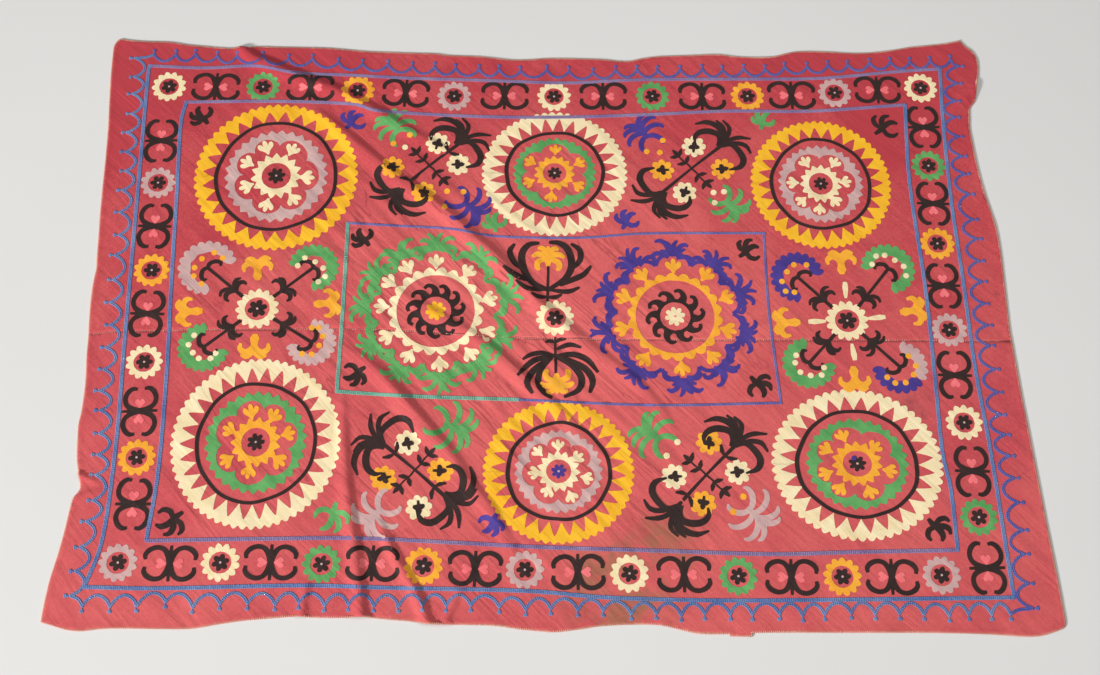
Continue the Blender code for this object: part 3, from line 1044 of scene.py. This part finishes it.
# %% Paired-arc motif
def paired_arcs(centre, heading):
    """A bar across the heading, with four arcs that curl away from it and a heart on each side."""
    heading += hand.normal(0, 0.02)
    stroke("black", turned([(0, 34), (0, 18), (0, 0), (0, -18), (0, -34)], centre, heading), [5, 7, 13, 7, 5])
    arc = [(-46, 7), (-47, 16), (-40, 25), (-27, 30), (-14, 27), (-5, 16), (0, 2)]
    for across in (1, -1):
        for up in (1, -1):
            path = [(x * across, y * up) for x, y in arc]
            size = hand.uniform(0.97, 1.03)
            stroke("black", turned(path, centre, heading, size), [6, 9, 10, 9, 9, 11, 12])
        heart = [(0, 0), (6, 5), (13, 10), (19, 8), (20, 3), (16, 0), (20, -3), (19, -8), (13, -10), (6, -5)]
        outline = turned([((x + 5) * across, y) for x, y in heart], centre, heading)
        fill("salmon", outline, turned([(0, 0), (20 * across, 0)], centre, heading))


# %% Place the border motifs
# for each band: the threads of its small rosettes, which place has the first of them, marks, and the heading
BORDER_BANDS = (
    (
        ("cream", "green", "orange", "lilac", "cream", "green", "orange", "lilac", "cream"),
        0,
        (
            (0, -822, 519), (3, -519, 519), (6, -207, 501), (8, 6, 502), (11, 328, 506), (13, 523, 511),
            (16, 806, 534),
        ),
        0.0,
    ),
    (
        ("lilac", "cream", "green", "orange", "lilac", "cream", "green", "orange", "lilac"),
        0,
        ((0, -811, -518), (5, -336, -519), (9, 47, -534), (13, 453, -542), (16, 737, -538)),
        0.0,
    ),
    (
        ("lilac", "orange", "cream", "orange"),
        1,
        ((0, -825, 384), (4, -809, -15), (6, -802, -219), (8, -795, -405)),
        math.pi / 2,
    ),
    (
        ("green", "orange", "lilac", "cream", "green"),
        1,
        ((0, 804, 434), (3, 804, 158), (6, 806, -135), (8, 818, -332), (10, 822, -523)),
        math.pi / 2,
    ),
)
WANDER = 1.0  # how far a border motif strays
for rosette_threads, first, marks, heading in BORDER_BANDS:
    for number, place in enumerate(set_out(marks)):
        place = place + hand.normal(0, WANDER, 2)
        if (number - first) % 2:
            paired_arcs(place, heading)
        else:
            small_rosette(rosette_threads[(number - first) // 2], place, 0.97)
print("border motifs:", sum(marks[-1][0] + 1 for _, _, marks, _ in BORDER_BANDS))

# %% [markdown]
# ## Big rosettes
# Six big rosettes fill the corners and the middles of the long sides. From outside in, each has a ring with
# small bumps outside and long teeth towards the middle, a thin black ring, a serrated ring with lobes inside,
# a few three-lobed tulips, and a small rosette. The rows of stitches in the outer ring run outwards from the
# middle, so its grain is given as a rule instead of a line.


# %% Tulip and big rosette
def tulip(thread, centre, heading, size, lift=0.0):
    """A three-lobed bud that opens outwards."""
    half = [
        (-16, 2), (-9, 5.5), (-4, 11), (1, 16.5), (8, 18), (13, 14.5), (11, 9), (6, 5.5), (12, 5.5), (18, 3.5)
    ]
    outline = [*half, (20, 0), *[(x, -y) for x, y in half[::-1]]]
    closed = smoothed([*outline, outline[0]], 2)[:-1]
    grain = turned([(-14, 0), (15, 0)], centre, heading)
    fill(thread, turned(closed, centre, heading, size), grain, lift=lift)


def lobed(tulip_angles, low, high):
    """Radius for each angle of a line that bulges round each tulip and comes to a point between two."""
    marks = np.sort(np.mod(tulip_angles, math.tau))

    def radius_at(angles):
        angles = np.mod(angles, math.tau)
        after = np.searchsorted(marks, angles) % len(marks)
        before = marks[after - 1]
        gap = np.mod(marks[after] - before, math.tau)
        share = np.mod(angles - before, math.tau) / gap
        return low + (high - low) * np.abs(np.cos(math.pi * share)) ** 0.55

    return radius_at


DRAWN_RADIUS, DRAWN_BLACK_RADIUS = 172, 127  # the rosette that the radii below were drawn for


def big_rosette(
    centre, radius, black_radius, threads_inwards, tulips, teeth=28, flower_thread="black", narrower=1.0
):
    """One big rosette. It may be drawn narrower, or wider, along the cloth than across it."""
    outer, middle, inner = threads_inwards
    already = {name: len(shapes) for name, shapes in stitched.items()}
    size, within = radius / DRAWN_RADIUS, black_radius / DRAWN_BLACK_RADIUS
    start = hand.uniform(0, 0.2)
    bumps = scallops(164.5 * size, 173.5 * size, 2 * teeth, start, 0.9)
    gaps = points_round(156 * size, black_radius + 2.5, teeth, start)
    fill(
        outer, round_line(centre, bumps, 12 * teeth), outwards(centre, 150 * size),
        holes=[round_line(centre, gaps, 12 * teeth)], lift=-0.05,
    )
    ripple = hand.uniform(0, math.tau, 3)
    angles = np.linspace(0, math.tau, 121)
    wavy = black_radius
    for swing, waves, phase in zip((1.3, 1.0, 0.5), (3, 5, 11), ripple):
        wavy = wavy + swing * np.sin(waves * angles + phase)
    black_line = np.column_stack([centre[0] + wavy * np.cos(angles), centre[1] + wavy * np.sin(angles)])
    stroke("black", black_line, [7.5, 6.5, 8.0, 6.5, 7.5], steps=1, close=True)
    directions = [math.atan2(y - centre[1], x - centre[0]) for x, y in tulips]
    serrated = points_round(101 * within, 111 * within, 30, start)
    lobes = lobed(directions, 69 * within, 91 * within)
    ring(middle, centre, serrated, lobes, 240, 98 * within)
    for (x, y), heading in zip(tulips, directions):
        away = min(math.hypot(x - centre[0], y - centre[1]), 71 * within)
        foot = centre + away * np.array([math.cos(heading), math.sin(heading)])
        tulip(inner, foot, heading, 0.93 * within * hand.uniform(0.95, 1.05), lift=0.12)
    ring(inner, centre, points_round(43 * within, 55 * within, 15, start), 31 * within, 120, 40 * within)
    flower(flower_thread, centre, 7, 9 * within, 19 * within, start, eye="lilac")
    for name, shapes in stitched.items():
        for spots, *_ in shapes[already[name] :]:
            spots[:, 0] = centre[0] + (spots[:, 0] - centre[0]) * narrower


# %% Place the big rosettes
big_rosette(
    (-576, 303), 172, 126, ("yellow", "lilac", "cream"),
    ((-603, 372), (-547, 364), (-513, 300), (-537, 250), (-591, 236), (-635, 278), (-638, 333)),
    narrower=0.99,
)
big_rosette(
    (8, 315), 147, 98, ("cream", "green", "orange"),
    ((10, 374), (58, 340), (60, 283), (0, 253), (-52, 290), (-46, 345)), narrower=1.04,
)
big_rosette(
    (570, 295), 151, 106, ("yellow", "lilac", "cream"),
    ((541, 345), (603, 345), (622, 300), (597, 256), (563, 235), (520, 248), (507, 297)), narrower=0.98,
)
big_rosette(
    (-573, -281), 172, 120, ("cream", "green", "orange"),
    ((-587, -221), (-541, -229), (-510, -264), (-525, -317), (-582, -338), (-627, -317), (-627, -257)),
    teeth=30, narrower=0.95,
)
big_rosette(
    (14, -337), 143, 97, ("yellow", "lilac", "cream"),
    ((-25, -298), (13, -286), (49, -310), (66, -350), (37, -386), (-6, -376), (-30, -340)),
    flower_thread="violet_blue", narrower=1.02,
)
big_rosette(
    (595, -319), 153, 107, ("cream", "green", "orange"),
    ((573, -264), (628, -286), (651, -333), (613, -374), (559, -371), (535, -340), (537, -288)),
    narrower=1.09,
)
print("big rosettes done:", {name: len(shapes) for name, shapes in stitched.items() if shapes})

# %% [markdown]
# ## The two wreaths
# Two wreaths stand in the middle rectangle. A flower sits inside a black ring of hooked waves. Then comes a
# toothed ring with tulips on it, and outside it a lobed line with a fan of curled leaves on each lobe.


# %% Wreath of hooks, teeth, tulips and leafy lobes
LOBE_LINE, LOBE_SWELL = 118, 22  # radius of the lobed line at its dents, and how far its lobes swell
FAN_START, DRAWN_FAN = 136, 38  # radius where the fans start, and the reach that their leaves were drawn for


def lobed_arc(centre, mark, behind, ahead):
    """The part of the lobed line that swells round one tulip, from dent to dent."""
    arc = []
    for angle in np.linspace(mark - behind, mark + ahead, 11):
        share = (angle - mark) / (ahead if angle > mark else behind)
        radius = LOBE_LINE + LOBE_SWELL * max(math.cos(math.pi / 2 * share), 0.0) ** 0.6
        arc.append((centre[0] + radius * math.cos(angle), centre[1] + radius * math.sin(angle)))
    return np.array(arc)


def wreath(centre, leaf, toothed, tulips, heart_thread, hooks=11, ring_low=79, reach=174):
    """One wreath. Its tulips and toothed ring share a thread."""
    centre, teeth, ring_high = np.array(centre, float), 22, 97
    flower(heart_thread, centre, 8, 12, 21, 0.2, eye="salmon")
    ring("black", centre, 38, 31, 60, 35)
    for index in range(hooks):
        heading = math.tau * index / hooks + 0.15
        path = [(35, -9), (45, -11), (54, -6), (57, 2), (53, 9)]
        stroke("black", turned(path, centre, heading, hand.uniform(0.97, 1.03)), [18, 13, 9, 8, 6], lift=0.05)
    start = hand.uniform(0, 0.3)
    bumps = scallops(ring_low + 7, ring_high, teeth, start, 0.9)
    ring(toothed, centre, bumps, ring_low, teeth * 8, ring_low + 4)
    directions = np.array([math.atan2(y - centre[1], x - centre[0]) for x, y in tulips])
    for (x, y), heading in zip(tulips, directions):
        away = 65 + 0.4 * math.hypot(x - centre[0], y - centre[1])
        foot = centre + away * np.array([math.cos(heading), math.sin(heading)])
        tulip(toothed, foot, heading, 0.95 * hand.uniform(0.95, 1.05))
    marks = np.sort(np.mod(directions, math.tau))
    for index, mark in enumerate(marks):
        after, before = marks[(index + 1) % len(marks)], marks[index - 1]
        ahead, behind = np.mod(after - mark, math.tau) / 2, np.mod(mark - before, math.tau) / 2
        stroke(leaf, lobed_arc(centre, mark, behind, ahead), [8, 8, 13, 8, 8], steps=2)
        scale = (reach - FAN_START) / DRAWN_FAN * hand.uniform(0.94, 1.06)
        base = centre + (FAN_START + 2) * np.array([math.cos(mark), math.sin(mark)])
        fan = [([(-3, 0), (8, hand.normal(0, 2)), (18, 0)], [14, 13, 7])]
        for side in (1, -1):
            fan += [
                ([(0, 1 * side), (14, 3 * side), (27, 6 * side), (36, 14 * side)], [10, 10, 9, 5]),
                (
                    [(-2, 4 * side), (11, 11 * side), (21, 19 * side), (25, 30 * side), (20, 38 * side)],
                    [10, 10, 10, 9, 5],
                ),
                ([(-2, 6 * side), (6, 17 * side), (9, 27 * side)], [9, 9, 5]),
                (
                    [(-6, 8 * side), (-2, 21 * side), (-1, 33 * side), (-9, 41 * side), (-17, 36 * side)],
                    [9, 10, 10, 9, 6],
                ),
            ]
        for path, widths in fan:
            stroke(
                leaf, turned(path, base, mark + hand.normal(0, 0.09), scale * hand.uniform(0.88, 1.1)),
                widths, lift=0.05,
            )


wreath(
    (-233, -2), "green", "cream",
    (
        (-235, 105), (-296, 97), (-334, 64), (-340, 7), (-330, -59), (-284, -100), (-221, -124), (-156, -102),
        (-123, -52), (-127, 24), (-172, 82),
    ),
    "yellow",
)
wreath(
    (251, -11), "violet_blue", "orange",
    (
        (251, 102), (185, 81), (149, 31), (144, -38), (185, -105), (261, -126), (325, -100), (356, -40),
        (361, 33), (320, 86),
    ),
    "cream", hooks=10, ring_low=80, reach=173,
)
print("wreath shapes:", len(stitched["green"]) + len(stitched["violet_blue"]))

# %% [markdown]
# ## Lotus motifs between the wreaths
# Above and below the small rosette at the centre, pairs of black leaves curl round an orange palmette, like a
# cup. Each leaf is one stroke, so the tables below are the middle lines of the strokes.


# %% Palmette of curled fingers
def palmette(thread, centre, heading, size):
    """A short spine with four curved fingers on each side, which curl back like a fern."""
    stroke(thread, turned([(-14, 0), (0, 0), (14, 0)], centre, heading, size), [7, 13, 9])
    for side in (1, -1):
        for foot, angle, length in ((10, 16, 0.85), (7, 44, 0.98), (0, 76, 1.0), (-8, 118, 0.9)):
            finger = [(0, 0), (11, -2 * side), (22, 0), (32, 6 * side), (38, 15 * side), (37, 23 * side)]
            root = turned([(foot, 0)], centre, heading, size)[0]
            way = heading + side * math.radians(angle) + hand.normal(0, 0.06)
            scale = size * length * hand.uniform(0.92, 1.05)
            stroke(thread, turned(finger, root, way, scale), [9, 11, 12, 11, 9, 4], lift=0.02)


# %% Leaves of the upper and lower lotus
UPPER_LEAVES = (
    ([(-7, 46), (-37, 61), (-56, 92), (-60, 126), (-46, 147), (-24, 151)], 13),
    ([(-6, 46), (28, 70), (42, 100), (36, 134), (18, 151), (-4, 153)], 13),
    ([(-58, 92), (-75, 107), (-85, 131), (-75, 149)], 11),
    ([(-36, 66), (-62, 74), (-82, 86), (-98, 100)], 11), ([(-7, 46), (-40, 48), (-56, 54), (-72, 68)], 9),
    ([(42, 92), (59, 112), (59, 136), (41, 150)], 11), ([(18, 56), (42, 68), (66, 80), (82, 100)], 11),
    ([(-6, 46), (26, 42), (42, 44), (58, 52)], 9),
    ([(-7, 30), (-20, 30), (-30, 33), (-40, 40)], 8), ([(-7, 30), (4, 29), (13, 31), (22, 36)], 8),
)
LOWER_LEAVES = (
    ([(9, -99), (-18, -92), (-41, -96), (-57, -106)], 9),
    ([(4, -101), (-27, -105), (-48, -119), (-67, -140)], 11),
    ([(-6, -106), (-34, -128), (-48, -155), (-37, -178)], 12),
    ([(1, -103), (-20, -126), (-26, -154), (-14, -176), (2, -187)], 11),
    ([(11, -84), (26, -77), (40, -74), (60, -80)], 9), ([(11, -98), (44, -95), (73, -107), (93, -133)], 11),
    ([(24, -101), (66, -124), (82, -150), (76, -176)], 12),
    ([(11, -101), (42, -119), (60, -145), (54, -170), (25, -185)], 12),
    ([(8, -70), (-2, -66), (-12, -69)], 7), ([(8, -70), (18, -63), (30, -62)], 7),
)
for path, width in (*UPPER_LEAVES, *LOWER_LEAVES):
    stroke("black", path, width)
stroke("black", [(-6, 112), (-6, 80), (-7, 46), (-7, 20)], [5, 5, 6, 5])
stroke("black", [(8, -58), (8, -85), (9, -110), (9, -136)], [4, 5, 6, 5])
PALMETTE_LEAVES = (
    ([(0, 16), (0, 6), (0, -6), (0, -18)], 13), ([(-1, 4), (-5, 16), (-13, 24), (-21, 22)], 10),
    ([(1, 4), (6, 16), (14, 23), (22, 20)], 10),
    ([(-2, 2), (-12, 9), (-23, 10), (-33, 4)], 11), ([(2, 2), (13, 8), (24, 9), (34, 2)], 11),
    ([(-2, -4), (-13, -3), (-21, -9), (-22, -20), (-16, -25)], 11),
    ([(2, -4), (13, -4), (22, -10), (23, -21), (17, -25)], 11),
    ([(0, 8), (1, 18), (0, 28)], 9),
)
for centre, upright in (((-6, 116), 1), ((11, -152), -0.94)):
    for path, width in PALMETTE_LEAVES:
        stroke("orange", [(centre[0] + x, centre[1] + y * upright) for x, y in path], width, lift=0.15)
small_rosette("cream", (8, -16), 1.03, 14)
print("black strokes so far:", len(stitched["black"]))

# %% [markdown]
# ## Cross motifs at the two ends
# A cream rosette stands between four black arms with hooked leaves. A crescent with a bumpy edge ends each
# arm, and a spray of orange fingers fills each gap.


# %% Crescent, arm and spray
CRESCENT_BAND = 23  # width of a crescent
ARM_START = 40  # how far from the rosette's middle an arm starts


def crescent(thread, centre, radius, facing, sweep, dots, dot_thread):
    """Part of a scalloped ring, with a sweep of degrees on both sides of the way that it faces."""
    half, middle = math.radians(sweep) / 2, math.radians(facing)
    bumps = round(sweep / 18)
    angles = np.linspace(-half, half, bumps * 7 + 1)
    swell = np.sin(np.clip((half - np.abs(angles)) / 0.2, 0, 1) * math.pi / 2) ** 0.5
    outer = radius + 1 - 7 * (1 - np.abs(np.sin((angles + half) / (2 * half) * bumps * math.pi)) ** 0.8)
    beads = len(dots) + 1
    inner = radius - CRESCENT_BAND - 3.5 * np.abs(np.sin((angles + half) / (2 * half) * beads * math.pi))
    mean = radius - CRESCENT_BAND / 2
    outer, inner = mean + (outer - mean) * swell, mean - (mean - inner) * swell
    outline = [(r * math.cos(middle + a), r * math.sin(middle + a)) for a, r in zip(angles, outer)]
    outline += [
        (r * math.cos(middle + a), r * math.sin(middle + a)) for a, r in zip(angles[-2:0:-3], inner[-2:0:-3])
    ]
    arc = [
        (centre[0] + mean * math.cos(middle + a), centre[1] + mean * math.sin(middle + a))
        for a in angles[::4]
    ]
    fill(thread, np.array(outline) + centre, arc)
    for spot in dots:
        dot(dot_thread, spot, 6.2, lift=0.2)


def black_arm(centre, end):
    """A straight stem from the rosette with hooked leaves on both sides and a curled end."""
    centre, end = np.array(centre, float), np.array(end, float)
    heading = math.atan2(*(end - centre)[::-1])
    foot = centre + ARM_START * np.array([math.cos(heading), math.sin(heading)])
    length = math.hypot(*(end - foot))
    stroke("black", turned([(0, 0), (length / 2, 0), (length, 0)], foot, heading), [8, 6, 7])
    for side in (1, -1):
        for hook, widths in (
            ([(18, 0), (27, 7), (30, 17), (24, 26), (15, 26)], [5, 10, 11, 8, 4]),
            ([(24, 2), (36, 9), (40, 20), (35, 29)], [5, 9, 8, 4]),
        ):
            stroke("black", turned(hook, foot, heading, hand.uniform(0.92, 1.05), side), widths)
        curl = [(length + x, y * side) for x, y in ((0, 0), (3, 10), (-3, 21), (-13, 25), (-17, 19))]
        stroke("black", turned(curl, foot, heading), [8, 9, 9, 8, 4])


def spray(thread, centre, heading):
    """A bulb with fingers that fan outwards, two of them curling back."""
    parts = [
        ([(-25, 0), (-15, 0), (-4, 0), (8, 0)], [9, 19, 14, 13]), ([(6, 0), (15, 0), (22, 1)], [10, 10, 5])
    ]
    for side in (1, -1):
        curl = [(0, 2 * side), (11, 7 * side), (15, 18 * side), (7, 28 * side), (-4, 27 * side)]
        finger = [(4, 2 * side), (18, 6 * side), (25, 15 * side), (21, 26 * side)]
        parts += [(curl, [9, 13, 13, 11, 5]), (finger, [8, 12, 11, 5])]
    for path, widths in parts:
        stroke(thread, turned(path, centre, heading, hand.uniform(0.96, 1.04)), widths)


def cross_motif(centre, crescents, sprays):
    """One cross motif. Two crescents may share an arm."""
    small_rosette("cream", centre, 1.16, 15)
    for middle in dict.fromkeys(row[1] for row in crescents):
        black_arm(centre, middle)
    for thread, middle, radius, facing, sweep, dot_thread, dots in crescents:
        crescent(thread, middle, radius, facing, sweep, dots, dot_thread)
    for x, y in sprays:
        spray("orange", (x, y), math.atan2(y - centre[1], x - centre[0]))


# %% Place the cross motifs
# each crescent: thread, middle, outer radius, way it faces, sweep, and the colour and places of its dots
cross_motif(
    (-592, 0),
    (
        (
            "lilac", (-700, 90), 60, 145, 270, "orange",
            ((-689, 124), (-671, 112), (-713, 110), (-726, 90), (-726, 71), (-709, 54)),
        ),
        (
            "green", (-485, 92), 52, 42, 270, "cream",
            ((-504, 113), (-482, 105), (-517, 96), (-465, 91), (-460, 72), (-473, 60)),
        ),
        (
            "green", (-692, -84), 52, 220, 270, "cream",
            ((-713, -59), (-722, -79), (-712, -96), (-699, -108), (-676, -108), (-667, -97)),
        ),
        (
            "lilac", (-479, -72), 50, -40, 270, "orange",
            ((-480, -41), (-466, -41), (-457, -59), (-463, -79), (-477, -98), (-496, -97)),
        ),
    ),
    ((-598, 87), (-726, -7), (-455, 13), (-592, -79)),
)
cross_motif(
    (600, -18),
    (
        (
            "violet_blue", (506, 78), 56, 140, 270, "orange",
            ((500, 106), (526, 106), (485, 90), (473, 68), (479, 46), (497, 44)),
        ),
        (
            "green", (694, 98), 56, 48, 270, "cream",
            ((672, 127), (690, 129), (662, 108), (710, 118), (727, 104), (730, 83)),
        ),
        (
            "green", (516, -110), 54, 226, 270, "cream",
            ((491, -94), (488, -110), (497, -130), (517, -137), (539, -136), (545, -120)),
        ),
        ("lilac", (698, -118), 56, 26, 122, "orange", ((717, -94), (730, -115), (724, -134))),
        ("violet_blue", (698, -118), 56, -109, 148, "orange", ((670, -140), (685, -152), (706, -151))),
    ),
    ((598, 111), (734, 5), (479, -23), (605, -142)),
)
dot("violet_blue", (589, -308), 5.0, lift=0.5)
for x, y in ((602, 50), (661, -11), (607, -86), (539, -20)):
    heading = math.atan2(y + 18, x - 600)
    stroke("cream", turned([(-18, 0), (-8, 0), (6, 0), (18, 0)], (x, y), heading), [5, 9, 12, 8])
print("crescents and arms placed")

# %% [markdown]
# ## Diagonal sprays
# Four sprays lie on the diagonals between the big rosettes. Each is a black stem with a big leafy crown at
# both ends, two eight-petalled flowers beside each crown, and a short twig on both sides of its middle.


# %% Diagonal spray
CROWN_LEAVES = (
    ([(-6, 4), (8, 12), (15, 26), (5, 45), (-11, 56), (-28, 55), (-38, 44)], [9, 11, 13, 14, 13, 10, 4]),
    ([(4, -2), (19, -12), (21, -32), (14, -56), (-5, -65), (-28, -54)], [9, 11, 13, 14, 12, 4]),
    ([(6, 6), (24, 24), (27, 43), (16, 64), (-5, 76)], [7, 11, 13, 11, 4]),
    ([(2, 3), (24, 15), (35, 32), (35, 52)], [7, 10, 10, 4]),
    ([(2, 2), (26, 8), (43, 20), (45, 42)], [7, 10, 9, 4]),
    ([(0, 0), (26, -2), (46, -12), (62, -30)], [7, 10, 10, 4]),
    ([(0, -2), (26, -14), (41, -34), (36, -56)], [7, 10, 10, 4]),
)


def diagonal_spray(start, end, flowers, stem_leaves=True):
    """One spray between two crowns. Most have two small leaves below each crown."""
    start, end = np.array(start, float), np.array(end, float)
    heading = math.atan2(*(end - start)[::-1])
    length = math.hypot(*(end - start))
    middle = (start + end) / 2
    stroke("black", turned([(0, 0), (length / 2, 1.5), (length, 0)], start, heading), [8, 5, 8])
    for node, way in ((end, heading), (start, heading + math.pi)):
        for path, widths in CROWN_LEAVES:
            stroke("black", turned(path, node, way, hand.uniform(0.95, 1.03)), widths)
        for side in (1, -1) if stem_leaves else ():
            stroke(
                "black", turned([(-29, 2 * side), (-25, 12 * side), (-17, 21 * side)], node, way), [4, 9, 4]
            )
    for side in (1, -1):
        side_stem = [(0, 0), (1, 14 * side), (-1, 30 * side), (0, 44 * side)]
        stroke("black", turned(side_stem, middle, heading), [4, 3.5, 3.5, 3])
        for along, lean in ((18, 1), (18, -1), (40, 1), (40, -1), (42, 0)):
            rise = 10 if lean else 18
            leaf = [
                (0, along * side), (8 * lean, (along + rise / 2) * side), (16 * lean, (along + rise) * side)
            ]
            stroke("black", turned(leaf, middle, heading), [4, 9.5, 3])
    for thread, x, y in flowers:
        flower(thread, (x, y), 8, 17.5, 26, hand.uniform(0, 1))
        toward = math.atan2(middle[1] - y, middle[0] - x)
        for bend in (-1.9, 0.0, 1.9):
            way = toward + math.pi + bend + hand.normal(0, 0.1)
            stroke("black", turned([(0, 0), (6, 0), (12, 0)], (x, y), way), [7, 11, 5], lift=0.5)
        stroke("black", turned([(0, 0), (8, 0), (15, 0)], (x, y), toward), [6, 6, 4], lift=0.45)


diagonal_spray(
    (-316, 274), (-195, 384),
    (("orange", -334, 326), ("cream", -240, 384), ("cream", -195, 334), ("orange", -266, 266)),
)
diagonal_spray(
    (234, 271), (363, 384),
    (("orange", 235, 324), ("cream", 305, 382), ("orange", 364, 328), ("cream", 281, 271)), stem_leaves=False,
)
diagonal_spray(
    (-326, -284), (-203, -389),
    (("cream", -279, -281), ("orange", -323, -353), ("orange", -214, -337), ("cream", -253, -411)),
)
diagonal_spray(
    (242, -405), (358, -284),
    (("orange", 308, -277), ("cream", 361, -337), ("cream", 237, -347), ("orange", 291, -400)),
)
print("diagonal sprays placed")

# %% [markdown]
# ## Small motifs
# Small palmettes, twigs like claws, and dots fill the gaps that are left, since the embroiderer left no part
# of the ground bare.


# %% Place the small motifs
def twig(thread, centre, heading, size):
    """Curled fingers from one foot, like a small claw."""
    for path, widths in (
        ([(2, 0), (-10, 1), (-23, 3)], [9, 12, 7]),
        ([(-2, 0), (10, 1), (20, -4), (24, -13)], [9, 13, 11, 5]),
        ([(-2, 2), (6, 12), (17, 16), (27, 10)], [9, 12, 11, 5]),
        ([(-4, 1), (-7, 15), (-1, 26), (9, 27)], [8, 11, 10, 5]),
        ([(-4, -1), (-8, -13), (-2, -24), (9, -26)], [8, 11, 10, 5]),
    ):
        stroke(thread, turned(path, centre, heading, size * hand.uniform(0.95, 1.05)), widths)


TWIGS = (
    ("black", -744, 444, 135, 0.95), ("black", 717, 433, 45, 1.1), ("black", -720, -436, 225, 1.1),
    ("black", 736, -447, -45, 1.0), ("black", -387, 159, 135, 0.9), ("black", -387, -138, 225, 0.95),
    ("black", 406, 137, 45, 0.95), ("black", 411, -158, -45, 1.0), ("violet_blue", -423, 436, 60, 0.95),
    ("violet_blue", 158, 204, 70, 0.9), ("violet_blue", -114, -440, 250, 0.9),
    ("green", -116, 196, 100, 0.85), ("green", 457, 446, 80, 0.9), ("green", -418, -426, 260, 1.2),
)
# each palmette: thread, middle, heading, size, and the dots at its foot
PALMETTES = (
    ("green", -331, 421, 120, 1.0, (("orange", -300, 404), ("orange", -334, 383), ("cream", -309, 374))),
    (
        "violet_blue", -172, 236, -40, 1.05,
        (("orange", -183, 269), ("orange", -221, 234), ("orange", -217, 270)),
    ),
    ("violet_blue", 199, 412, 125, 1.0, (("orange", 204, 369), ("orange", 239, 396), ("orange", 232, 367))),
    ("green", 374, 245, -50, 0.95, (("cream", 342, 272), ("cream", 364, 274), ("cream", 343, 248))),
    ("green", 201, -264, 140, 1.1, (("cream", 246, -277), ("cream", 224, -305))),
    ("lilac", 386, -419, -45, 1.15, (("orange", 369, -386), ("orange", 348, -416))),
    ("green", -195, -248, -20, 1.15, ()),
    ("lilac", -333, -422, 225, 1.05, ()),
)
for thread, x, y, heading, size in TWIGS:
    twig(thread, (x, y), math.radians(heading), size)
for thread, x, y, heading, size, dots in PALMETTES:
    palmette(thread, (x, y), math.radians(heading), size)
    for dot_thread, dot_x, dot_y in dots:
        dot(dot_thread, (dot_x, dot_y), 6.5, lift=0.2)
print("small motifs:", len(TWIGS) + len(PALMETTES))

# %% [markdown]
# ## From drawn shapes to sewn pieces
# All shapes of one thread colour become one piece. Each shape is a low closed body on the cloth: its border
# is low, its middle is padded, and its underside sinks a little into the cotton, so that nothing shows
# beneath it.


# %% Make the embroidery
def embroidery(name, shapes, material):
    """One piece of all the shapes in one thread, with the grain of each as its UV map."""
    points, faces, grain, first = [], [], [], 0
    laid = as_it_lies(np.vstack([spots for spots, *_ in shapes]))
    tops, start = drape(laid) + THICKNESS, 0
    for spots, shape_faces, rise, uv in shapes:
        lying, base = laid[start : start + len(spots)], tops[start : start + len(spots)]
        start += len(spots)
        points += [in_metres(lying, base + rise), in_metres(lying, base - SUNK)]
        faces += [[corner + first for corner in face] for face in closed_faces(shape_faces, len(spots))]
        grain += [uv, uv]
        first += 2 * len(spots)
    # the filling lies flat, with hard borders, so its faces aren't smoothed
    piece = new_piece(name, np.vstack(points), faces, material, smooth=False)
    corners = np.zeros(len(piece.data.loops), int)
    piece.data.loops.foreach_get("vertex_index", corners)
    layer = piece.data.uv_layers.new(name="grain")
    layer.data.foreach_set("uv", np.vstack(grain)[corners].astype(np.float32).ravel())
    return piece


embroidered = [
    embroidery(f"{name}_embroidery", shapes, threads[name]) for name, shapes in stitched.items() if shapes
]
print(
    {piece.name: sum(len(face.vertices) - 2 for face in piece.data.polygons) for piece in embroidered},
    "triangles",
)

# %% [markdown]
# ## Tie everything to the imported model
# Every piece rides on the one body. The two cotton sheets stand for the CAD sheets, which are hidden. The
# embroidery, the edge and the seam go with them.

# %% Ride, and hide the CAD sheets that the cotton stands for
sewn_on = [*line_pieces, *embroidered]
for piece in (far_cloth, near_cloth, *sewn_on):
    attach(piece, "root")
for node, cloth in (("far_length", far_cloth), ("near_length", near_cloth)):
    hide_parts(node)
